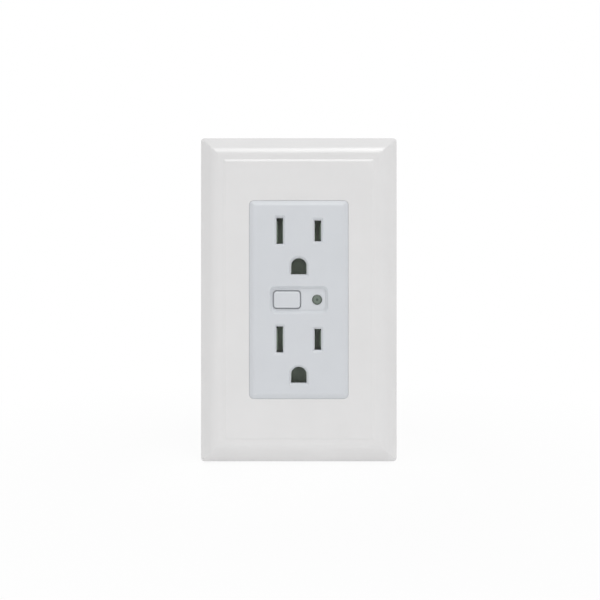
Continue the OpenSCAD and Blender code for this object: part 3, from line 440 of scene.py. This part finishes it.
def loft(bm, rings, closed=False):
    for first, second in zip(rings, rings[1:] + rings[:1] if closed else rings[1:]):
        band(bm, first, second)
    return rings


def flat(bm, *rings):
    """Fills the flat between an outer ring and any holes."""
    edges = []
    for loop in rings:
        for i, vert in enumerate(loop):
            pair = (vert, loop[(i + 1) % len(loop)])
            edges.append(bm.edges.get(pair) or bm.edges.new(pair))
    bmesh.ops.triangle_fill(bm, use_beauty=True, use_dissolve=False, edges=edges)


def lathe(bm, profile, at, steps=48):
    """A closed turned form from (radius, level) points; a radius of 0 ends it in a pole."""
    rings = []
    for r, z in profile:
        if r:
            rings.append(ring(bm, round_outline(r, at, steps), z))
        else:
            rings.append([bm.verts.new(wall(*at, z))])
    closed = profile[0][0] and profile[-1][0]
    for first, second in zip(rings, rings[1:] + rings[:1] if closed else rings[1:]):
        if len(first) == len(second):
            band(bm, first, second)
        else:
            pole, loop = (first[0], second) if len(first) == 1 else (second[0], first)
            for i in range(steps):
                bm.faces.new((pole, loop[i], loop[(i + 1) % steps]))


def rounded_block(bm, x0, x1, y0, y1, z0, z1):
    made = bmesh.ops.create_cube(bm, size=1)["verts"]
    middle = wall((x0 + x1) / 2, (y0 + y1) / 2, (z0 + z1) / 2)
    for v in made:
        corner = Vector((v.co.x * (x1 - x0), v.co.y * (z1 - z0), v.co.z * (y1 - y0)))
        v.co = corner * MM + middle
    edges = list({e for v in made for e in v.link_edges})
    bmesh.ops.bevel(bm, geom=edges, offset=BLOCK_EDGE * MM, segments=2, affect="EDGES", profile=0.5)


def put_in_place(mesh, name, body, slot, *nodes):
    mesh.materials.clear()
    mesh.materials.append(finishes[slot].material)
    for face in mesh.polygons:
        face.material_index = 0
        face.use_smooth = True
    mesh.set_sharp_from_angle(angle=CREASE_ANGLE)
    piece = bpy.data.objects.new(name, mesh)
    bpy.context.scene.collection.objects.link(piece)
    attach(piece, body)
    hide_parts(*nodes)


def shell(bm, name, body, slot, *nodes):
    bmesh.ops.remove_doubles(bm, verts=bm.verts, dist=1e-7)
    bmesh.ops.recalc_face_normals(bm, faces=bm.faces)
    mesh = bpy.data.meshes.new(name)
    bm.to_mesh(mesh)
    bm.free()
    put_in_place(mesh, name, body, slot, *nodes)


def softened(node, body, slot, width):
    """A copy of a CAD solid whose sharp edges are broken, as pressing or moulding leaves them."""
    same_place, same_plane, sharp_from = 2e-6, math.radians(0.4), math.radians(30)
    bm = bmesh.new()
    bm.from_mesh(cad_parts[node].data)
    bmesh.ops.remove_doubles(bm, verts=bm.verts, dist=same_place)
    bmesh.ops.dissolve_limit(bm, angle_limit=same_plane, verts=bm.verts, edges=bm.edges)
    sharp = [e for e in bm.edges if len(e.link_faces) == 2 and e.calc_face_angle(0) > sharp_from]
    bmesh.ops.bevel(bm, geom=sharp, offset=width * MM, segments=2, affect="EDGES", profile=0.5,
                    clamp_overlap=True)
    mesh = bpy.data.meshes.new(node + "_softened")
    bm.to_mesh(mesh)
    bm.free()
    put_in_place(mesh, node + "_softened", body, slot, node)


# Visible pieces


def wall_plate():
    bm = bmesh.new()
    under = BORDER_Z - PLATE_WALL
    lean = math.atan2(BORDER_Z - RIM_H, BEVEL_RUN)
    outer = [(0, 0), (0, RIM_H), (BEVEL_RUN, BORDER_Z), (BORDER_X, BORDER_Z),
             (BORDER_X + STEP_RUN, PLATE_DEPTH), (FLAT_INSET, PLATE_DEPTH)]
    outer = eased(outer, (RIM_EDGE_R, CREASE_R, STEP_R, STEP_R))
    collar_back, collar_wall = PLATE_DEPTH - COLLAR_DEPTH, PLATE_GAP + PLATE_WALL
    collar = [(FLAT_FRONT, PLATE_DEPTH), (PLATE_GAP, PLATE_DEPTH), (PLATE_GAP, collar_back),
              (collar_wall, collar_back), (collar_wall, under), (FLAT_BACK, under)]
    inner = [(FLAT_INSET, under), (BEVEL_RUN + PLATE_WALL * math.tan(lean / 2), under),
             (PLATE_WALL, RIM_H - PLATE_WALL * math.tan((math.pi / 2 - lean) / 2)), (PLATE_WALL, 0)]
    inner = eased(inner, (CREASE_R - PLATE_WALL, RIM_INNER_R))
    rings = rings_along(bm, plate_outline, outer)
    rings += rings_along(bm, window_outline, eased(collar, COLLAR_RADII))
    rings += rings_along(bm, plate_outline, inner)
    loft(bm, rings, closed=True)

    tab_y = FACE_H / 2 - TAB_H / 2
    for sx, sy in CORNERS:
        x, low, high = sx * TAB_X, sy * tab_y - TAB_H / 2, sy * tab_y + TAB_H / 2
        rounded_block(bm, x - TAB_T / 2, x + TAB_T / 2, low, high,
                      TAB_FOOT, BORDER_Z - PLATE_WALL / 2)
        barb = sorted((x, x + sx * (TAB_T / 2 + TAB_BARB)))
        rounded_block(bm, *barb, low, high, TAB_FOOT, YOKE_T - TAB_PLAY)
    shell(bm, "wall_plate", "cover", "plate_plastic", "wall_plate_cover")


def device_face():
    bm = bmesh.new()
    rim = [(0, YOKE_T), (0, FACE_EDGE_FOOT), (-FACE_EDGE_RUN, FACE_FRONT),
           (-FACE_EDGE_RUN - FACE_EDGE_LAND, FACE_FRONT)]
    body = loft(bm, rings_along(bm, window_outline, eased(rim, FACE_EDGE_RADII)))
    cavity_size = FACE_W - 2 * FACE_SIDE, FACE_H - 2 * FACE_SIDE
    cavity = [ring(bm, rounded_outline(*cavity_size, FACE_R / 2), z) for z in (FACE_INNER, YOKE_T)]
    loft(bm, [*cavity, body[0]])

    openings = []
    for y in BLADE_ROWS:
        openings.append(slot_outline(NEUTRAL_H, (-BLADE_X, y)))
        openings.append(slot_outline(HOT_H, (BLADE_X, y)))
        openings.append(ground_outline((0, y - GROUND_DROP)))
    mouth = [(SLOT_CHAMFER + MOUTH_LAND, FACE_FRONT), (SLOT_CHAMFER, FACE_FRONT),
             (0, FACE_FRONT - SLOT_CHAMFER), (0, FACE_INNER)]
    fronts, backs = [], []
    for opening in openings:
        rings = loft(bm, rings_along(bm, opening, eased(mouth, MOUTH_RADII, FINE_STEPS)))
        fronts.append(rings[0])
        backs.append(rings[-1])

    slope = [(-PANEL_LAND, FACE_FRONT), (0, FACE_FRONT), (PANEL_SLOPE, PANEL_FLOOR),
             (PANEL_SLOPE + PANEL_FOOT, PANEL_FLOOR)]
    panel = loft(bm, rings_along(bm, panel_outline, eased(slope, PANEL_RADII)))
    fronts.append(panel[0])
    floor_holes = []
    gap = [(FLOOR_LAND, PANEL_FLOOR), (0, PANEL_FLOOR), (0, FACE_INNER)]
    for hole in (button_hole_outline, lens_hole_outline):
        rings = loft(bm, rings_along(bm, hole, eased(gap, (FLOOR_EDGE_R,), FINE_STEPS)))
        floor_holes.append(rings[0])
        backs.append(rings[-1])
    flat(bm, panel[-1], *floor_holes)
    flat(bm, body[-1], *fronts)
    flat(bm, cavity[0], *backs)

    root = FACE_INNER + BOSS_ROOT
    boss = [(0, root), (BOSS_D / 2, root), (BOSS_D / 2, YOKE_T), (BOSS_BORE / 2, YOKE_T),
            (BOSS_BORE / 2, BOSS_END), (0, BOSS_END)]
    for sx, sy in CORNERS:
        lathe(bm, boss, (sx * SCREW_X, sy * SCREW_Y))
    shell(bm, "device_face", "device", "face_plastic", "front_face")


def button():
    bm = bmesh.new()
    line = [(-FLANGE_LIP, FLANGE_TOP - FLANGE_T), (-FLANGE_LIP, FLANGE_TOP), (0, FLANGE_TOP),
            (0, BUTTON_TOP - BUTTON_CROWN), (BUTTON_CROWN_RUN, BUTTON_TOP)]
    rings = loft(bm, rings_along(bm, button_outline, eased(line, (*FLANGE_RADII, BUTTON_EDGE))))
    flat(bm, rings[-1])
    flat(bm, rings[0])
    r, root = STEM_D / 2, FLANGE_TOP - FLANGE_T / 2
    stem = [(0, STEM_FOOT), (r - STEM_CHAMFER, STEM_FOOT), (r, STEM_FOOT + STEM_CHAMFER),
            (r, root), (0, root)]
    lathe(bm, stem, (BUTTON_X, 0), steps=32)
    shell(bm, "button_cap", "button", "button_plastic", "push_button")


def lens():
    bm = bmesh.new()
    r, top, back = LENS_D / 2, PANEL_FLOOR + LENS_PROUD, FACE_INNER - LENS_FLANGE_T
    pipe_r, flange_r = (LENS_D - FLANGE_LIP / 2) / 2, r + FLANGE_LIP / 2
    pipe = [(0, LENS_FOOT), (pipe_r, LENS_FOOT), (pipe_r, back), (flange_r, back),
            (flange_r, FACE_INNER), (r, FACE_INNER)]
    steps = 8
    rise = [math.pi / 2 * i / steps for i in range(steps)]
    dome = [(r * math.cos(a), top - LENS_DOME + LENS_DOME * math.sin(a)) for a in rise]
    lathe(bm, [*pipe, *dome, (0, top)], (LENS_X, 0))
    shell(bm, "lens_and_light_pipe", "device", "lens_smoke", "indicator_lens")


# Screws: one tree makes every slotted screw, on points that mark the seats of the heads

SCREW_SOCKETS = {
    "Float": ("Head Diameter", "Head Height", "Head Foot Diameter", "Shank Diameter", "Neck Length",
              "Shank Length", "Thread Pitch", "Slot Width", "Slot Depth"),
    "Rotation": ("Turn",),
    "Material": ("Finish",),
}
HEAD_SIDES, SHANK_SIDES, TURN_STEPS = 48, 32, 24
CROWN_HEIGHT, CROWN_TOP = 0.22, 0.9  # shares of the head's height and radius
CUTTER_LENGTH = 3.0  # share of the head's radius
RIDGE_R, TIP_R, LAP = 0.3, 0.9, 0.2  # shares of the pitch, the core's radius and the head's height
THREAD_PITCH = 0.79
HEAD_TAPER = 0.94


def screw_tree():
    tree = bpy.data.node_groups.new("slotted_screw", "GeometryNodeTree")
    add_socket = tree.interface.new_socket
    add_socket("Geometry", in_out="OUTPUT", socket_type="NodeSocketGeometry")
    add_socket("Seats", in_out="INPUT", socket_type="NodeSocketGeometry")
    sockets = {}
    for kind, labels in SCREW_SOCKETS.items():
        for label in labels:
            made = add_socket(label, in_out="INPUT", socket_type="NodeSocket" + kind)
            sockets[label] = made.identifier
    given = tree.nodes.new("NodeGroupInput").outputs
    result = tree.nodes.new("NodeGroupOutput").inputs[0]

    def feed(socket, value):
        if isinstance(value, bpy.types.NodeSocket):
            tree.links.new(value, socket)
        else:
            socket.default_value = value

    def node(kind, **inputs):
        made = tree.nodes.new(kind)
        for label, value in inputs.items():
            feed(made.inputs[label.replace("_", " ")], value)
        return made

    def maths(operation, first, second):
        made = tree.nodes.new("ShaderNodeMath")
        made.operation = operation
        feed(made.inputs[0], first)
        feed(made.inputs[1], second)
        return made.outputs[0]

    def times(first, second):
        return maths("MULTIPLY", first, second)

    def minus(first, second):
        return maths("SUBTRACT", first, second)

    def plus(first, second):
        return maths("ADD", first, second)

    def moved(geometry, distance):
        along = node("ShaderNodeCombineXYZ", Z=distance).outputs[0]
        return node("GeometryNodeTransform", Geometry=geometry, Translation=along).outputs[0]

    def cone(foot, top, depth, sides):
        made = node("GeometryNodeMeshCone", Vertices=sides, Radius_Top=top, Radius_Bottom=foot,
                    Depth=depth)
        return made.outputs["Mesh"]

    def boolean(operation, **operands):
        made = node("GeometryNodeMeshBoolean")
        made.operation = operation
        for label, meshes in operands.items():
            for mesh in meshes:
                tree.links.new(mesh, made.inputs[label.replace("_", " ")])
        return made.outputs["Mesh"]

    head_h, head_r = given["Head Height"], times(given["Head Diameter"], 0.5)
    crown_h = times(head_h, CROWN_HEIGHT)
    side_h = minus(head_h, crown_h)
    side = cone(times(given["Head Foot Diameter"], 0.5), head_r, side_h, HEAD_SIDES)
    crown = moved(cone(head_r, times(head_r, CROWN_TOP), crown_h, HEAD_SIDES), side_h)
    solid = boolean("UNION", Mesh_2=(side, crown))
    cutter_size = node("ShaderNodeCombineXYZ", X=times(head_r, CUTTER_LENGTH),
                       Y=given["Slot Width"], Z=times(given["Slot Depth"], 2.0))
    cube = node("GeometryNodeMeshCube", Size=cutter_size.outputs[0]).outputs["Mesh"]
    head = boolean("DIFFERENCE", Mesh_1=(solid,), Mesh_2=(moved(cube, head_h),))

    shank_l, pitch = given["Shank Length"], given["Thread Pitch"]
    tip = times(shank_l, -1.0)
    ridge = times(pitch, RIDGE_R)
    core_r = minus(times(given["Shank Diameter"], 0.5), ridge)
    core_l = plus(shank_l, times(head_h, LAP))
    core = moved(cone(times(core_r, TIP_R), core_r, core_l, SHANK_SIDES), tip)
    thread_l = minus(minus(shank_l, given["Neck Length"]), pitch)
    helix = node("GeometryNodeCurveSpiral", Resolution=TURN_STEPS, Start_Radius=core_r,
                 End_Radius=core_r, Height=thread_l, Rotations=maths("DIVIDE", thread_l, pitch))
    section = node("GeometryNodeCurvePrimitiveCircle", Resolution=4, Radius=ridge)
    thread = node("GeometryNodeCurveToMesh", Curve=helix.outputs["Curve"],
                  Profile_Curve=section.outputs["Curve"], Fill_Caps=True).outputs["Mesh"]
    thread = moved(thread, plus(tip, times(pitch, 0.5)))

    joined = node("GeometryNodeJoinGeometry")
    for part in (thread, core, head):
        tree.links.new(part, joined.inputs[0])
    spread = node("GeometryNodeInstanceOnPoints", Points=given["Seats"], Instance=joined.outputs[0],
                  Rotation=given["Turn"])
    real = node("GeometryNodeRealizeInstances", Geometry=spread.outputs[0])
    dressed = node("GeometryNodeSetMaterial", Geometry=real.outputs[0], Material=given["Finish"])
    tree.links.new(dressed.outputs[0], result)
    return tree, sockets


SCREW_TREE, SCREW_INPUTS = screw_tree()
FORWARD = (math.pi / 2, 0, 0)
BACKWARD = (-math.pi / 2, 0, 0)
RIGHT = (0, math.pi / 2, 0)
LEFT = (0, -math.pi / 2, 0)


def screws(name, body, slot, node, seats, turn, head, shank, cut, neck, foot_d=None,
           pitch=THREAD_PITCH):
    """Screws with heads at the seats; head and shank are (diameter, length), cut (width, depth)."""
    mesh = bpy.data.meshes.new(name + "_seats")
    mesh.from_pydata([wall(*seat) for seat in seats], [], [])
    points = bpy.data.objects.new(name + "_seats", mesh)
    bpy.context.scene.collection.objects.link(points)
    modifier = points.modifiers.new("screws", "NODES")
    modifier.node_group = SCREW_TREE
    lengths = {
        "Head Diameter": head[0], "Head Height": head[1],
        "Head Foot Diameter": foot_d or head[0] * HEAD_TAPER,
        "Shank Diameter": shank[0], "Shank Length": shank[1],
        "Neck Length": neck, "Thread Pitch": pitch,
        "Slot Width": cut[0], "Slot Depth": cut[1],
    }
    for label, value in lengths.items():
        modifier[SCREW_INPUTS[label]] = value * MM
    modifier[SCREW_INPUTS["Turn"]] = turn
    modifier[SCREW_INPUTS["Finish"]] = finishes[slot].material
    bpy.context.view_layer.update()
    shaped = points.evaluated_get(bpy.context.evaluated_depsgraph_get())
    made = bpy.data.meshes.new_from_object(shaped)
    points.modifiers.remove(modifier)
    bpy.data.objects.remove(points)
    put_in_place(made, name, body, slot, node)


def all_screws():
    screws("wall_box_screws", "device", "zinc_steel", "mounting_screws",
           [(0, s * BOX_SCREW_Y, YOKE_T) for s in ENDS], FORWARD,
           head=(6.6, 2.0), shank=(3.44, 21.2), cut=(0.8, 1.0), neck=2.2)
    screws("subplate_fixing_screws", "device", "zinc_steel", "subplate_screws",
           [(0, s * PLATE_SCREW_Y, PLATE_SCREW_Z) for s in ENDS], FORWARD,
           head=(5.0, 1.0), shank=(2.9, 5.4), cut=(0.8, 0.5), neck=0.3, foot_d=2.9, pitch=0.6)
    screws("case_screws", "device", "zinc_steel", "assembly_screws",
           [(sx * SCREW_X, sy * SCREW_Y, CASE_SCREW_Z) for sx, sy in CORNERS], BACKWARD,
           head=(4.8, 1.8), shank=(2.8, 15.2), cut=(0.8, 0.9), neck=3.0, pitch=0.7)
    terminal = {"head": (7.6, 2.4), "shank": (4.0, 7.5), "cut": (0.8, 1.2), "neck": 1.4}
    outside, ground_outside = TERMINAL_X + CLAMP_T, GROUND_TAB_X + CLAMP_T
    screws("brass_terminal_screw", "hot_screw", "screw_brass", "hot_terminal_screw",
           [(outside, TERMINAL_Y, TERMINAL_Z)], RIGHT, **terminal)
    screws("silver_terminal_screw", "neutral_screw", "screw_nickel", "neutral_terminal_screw",
           [(-outside, TERMINAL_Y, TERMINAL_Z)], LEFT, **terminal)
    screws("green_terminal_screw", "ground_screw", "screw_green", "ground_terminal_screw",
           [(-ground_outside, GROUND_TAB_Y, GROUND_TAB_Z)], LEFT, **terminal)


# CAD solids that keep their shape

CAD_FINISH = {
    "wall_plate_cover": "plate_plastic", "mounting_subplate": "subplate_plastic",
    "subplate_screws": "zinc_steel", "yoke": "yoke_steel", "mounting_screws": "zinc_steel",
    "screw_retainers": "fibre", "front_face": "face_plastic", "push_button": "button_plastic",
    "indicator_lens": "lens_smoke", "rear_housing": "housing_plastic",
    "assembly_screws": "zinc_steel", "contact_carrier": "tray_plastic",
    "hot_contact_upper": "contact_brass", "hot_contact_lower": "contact_brass",
    # The ground bus takes the darker copy of the contact metal, as painted shade.
    "neutral_bus": "contact_brass", "ground_bus": "ground_brass_painted_shade", "ground_rivets": "zinc_steel",
    "hot_terminal_screw": "screw_brass", "hot_clamp_plate": "screw_brass",
    "neutral_terminal_screw": "screw_nickel", "neutral_clamp_plate": "screw_nickel",
    "ground_terminal_screw": "screw_green", "ground_clamp_plate": "zinc_steel",
    "main_board": "board_laminate", "control_board": "board_laminate",
    "board_header": "carrier_plastic", "tact_switch_body": "carrier_plastic",
    "tact_switch_plunger": "plunger_plastic", "status_led": "led_epoxy",
    "relay_base": "relay_plastic", "relay_cover": "relay_plastic", "relay_frame": "yoke_steel",
    "relay_coil": "coil_copper", "relay_core": "zinc_steel", "relay_armature": "yoke_steel",
    "relay_moving_contact": "contact_brass", "relay_fixed_contact": "contact_brass",
    "power_transformer": "ferrite", "filter_capacitors": "can_sleeve",
    "film_capacitor": "film_epoxy", "varistor": "varistor_epoxy", "fuse": "fuse_ceramic",
    "radio_module": "radio_shield",
}
BROKEN_EDGES = (  # node, body, width of the broken edge
    ("mounting_subplate", "device", 0.15),
    ("yoke", "device", 0.15),
    ("rear_housing", "device", 0.3),
    ("screw_retainers", "device", 0.06),
    ("hot_clamp_plate", "hot_clamp", 0.12),
    ("neutral_clamp_plate", "neutral_clamp", 0.12),
    ("ground_clamp_plate", "ground_clamp", 0.12),
)


def finish_cad_nodes():
    for name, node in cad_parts.items():
        node.data.materials.clear()
        node.data.materials.append(finishes[CAD_FINISH[name]].material)


def softened_solids():
    for node, body, width in BROKEN_EDGES:
        softened(node, body, CAD_FINISH[node], width)


# Stage, light and camera: metres and watts in the world's directions

WHITE = (1, 1, 1, 1)
TENT = (0.49, 0.88, 0.92)  # strength from the sides, from the front and from above
FLOOR_HALF, FLOOR_DROP = 3.0, 0.0004
FLOOR_TONE, FLOOR_ROUGH = (0.8, 0.8, 0.8, 1), 0.9
FLOOR_PALING = (0.07, 0.2, 0.9, 1.0)  # distance from and to, then share of white from and to
FLOOR_GLOW = (0.035, 0.085, 0.28, 0.0)  # distance from and to, then strength from and to
LAMPS = (  # name, place, size, power, rays that don't see it
    ("key", (0.35, -0.6, 1.1), 0.6, 2.8, None),
    ("back", (-0.5, 1.0, 0.7), 0.8, 2.5, None),
    ("gloss", (0.0, -0.85, 1.0), 0.7, 6.3, "visible_diffuse"),
    ("ring", wall(0, 0, 200), 0.03, 0.015, "visible_glossy"),
)
CAMERA_PLACE, CAMERA_LENS, CAMERA_SENSOR = wall(0.4, -0.1, FACE_FRONT + 185), 33.45, 36
CAMERA_NEAR = 0.005


def wiring(tree):
    """A function that adds a node to the tree, with its inputs linked or set in their order."""
    def add(kind, *inputs, operation=None):
        made = tree.nodes.new(kind)
        if operation:
            made.operation = operation
        for socket, value in zip(made.inputs, inputs):
            if isinstance(value, bpy.types.NodeSocket):
                tree.links.new(value, socket)
            else:
                socket.default_value = value
        return made.outputs

    return add


def seen_directly(add):
    path = add("ShaderNodeLightPath")
    seen = path["Is Camera Ray"]
    for ray in ("Is Glossy Ray", "Is Transmission Ray"):
        seen = add("ShaderNodeMath", seen, path[ray], operation="MAXIMUM")[0]
    return seen


def pale_floor():
    """Pale plastic that fades to white, with a little light from within under the object."""
    material = bpy.data.materials.new("pale_floor")
    material.use_nodes = True
    tree = material.node_tree
    add = wiring(tree)
    place = add("ShaderNodeTexCoord")["Object"]
    away = add("ShaderNodeVectorMath", place, operation="LENGTH")["Value"]
    paling = add("ShaderNodeMapRange", away, *FLOOR_PALING)[0]
    glow = add("ShaderNodeMapRange", away, *FLOOR_GLOW)[0]
    shader = tree.nodes["Principled BSDF"]
    shader.inputs["Base Color"].default_value = FLOOR_TONE
    shader.inputs["Roughness"].default_value = FLOOR_ROUGH
    shader.inputs["Emission Color"].default_value = WHITE
    tree.links.new(glow, shader.inputs["Emission Strength"])
    share = add("ShaderNodeMath", seen_directly(add), paling, operation="MULTIPLY")[0]
    white = add("ShaderNodeEmission")[0]
    surface = add("ShaderNodeMixShader", share, shader.outputs[0], white)[0]
    tree.links.new(surface, tree.nodes["Material Output"].inputs["Surface"])
    return material


def white_floor():
    bm = bmesh.new()
    foot = cad_box[0][2] - FLOOR_DROP
    for sx, sy in ((-1, -1), (1, -1), (1, 1), (-1, 1)):
        bm.verts.new((sx * FLOOR_HALF, sy * FLOOR_HALF, foot))
    bm.faces.new(bm.verts)
    mesh = bpy.data.meshes.new("floor")
    bm.to_mesh(mesh)
    bm.free()
    mesh.materials.append(pale_floor())
    floor = bpy.data.objects.new("floor", mesh)
    bpy.context.scene.collection.objects.link(floor)


def white_tent():
    """A world that is white where it is seen and dimmer at its sides as a source of light."""
    world = bpy.data.worlds.new("studio")
    bpy.context.scene.world = world
    world.use_nodes = True
    tree = world.node_tree
    add = wiring(tree)
    towards = add("ShaderNodeTexCoord")["Generated"]
    squares = add("ShaderNodeVectorMath", towards, towards, operation="MULTIPLY")[0]
    strength = add("ShaderNodeVectorMath", squares, TENT, operation="DOT_PRODUCT")["Value"]
    tent = add("ShaderNodeBackground", WHITE, strength)[0]
    white = add("ShaderNodeBackground", WHITE, 1.0)[0]
    surface = add("ShaderNodeMixShader", seen_directly(add), tent, white)[0]
    tree.links.new(surface, tree.nodes["World Output"].inputs["Surface"])


def lamps():
    """A key above, one behind, one for the creases' shine and one by the camera for the slots."""
    for name, place, size, power, unseen_by in LAMPS:
        data = bpy.data.lights.new(name, "AREA")
        data.size = size
        data.energy = power
        lamp = bpy.data.objects.new(name, data)
        if unseen_by:
            setattr(lamp, unseen_by, False)
        lamp.location = place
        lamp.rotation_euler = (-Vector(place)).to_track_quat("-Z", "Y").to_euler()
        bpy.context.scene.collection.objects.link(lamp)


def straight_camera():
    data = bpy.data.cameras.new("camera")
    data.sensor_width = CAMERA_SENSOR
    data.lens = CAMERA_LENS
    data.clip_start = CAMERA_NEAR
    camera = bpy.data.objects.new("camera", data)
    camera.location = CAMERA_PLACE
    camera.rotation_euler = (math.pi / 2, 0, 0)
    bpy.context.scene.collection.objects.link(camera)
    bpy.context.scene.camera = camera


finish_cad_nodes()
wall_plate()
device_face()
button()
lens()
all_screws()
softened_solids()
white_floor()
white_tent()
lamps()
straight_camera()
bpy.context.scene.view_settings.view_transform = "Standard"
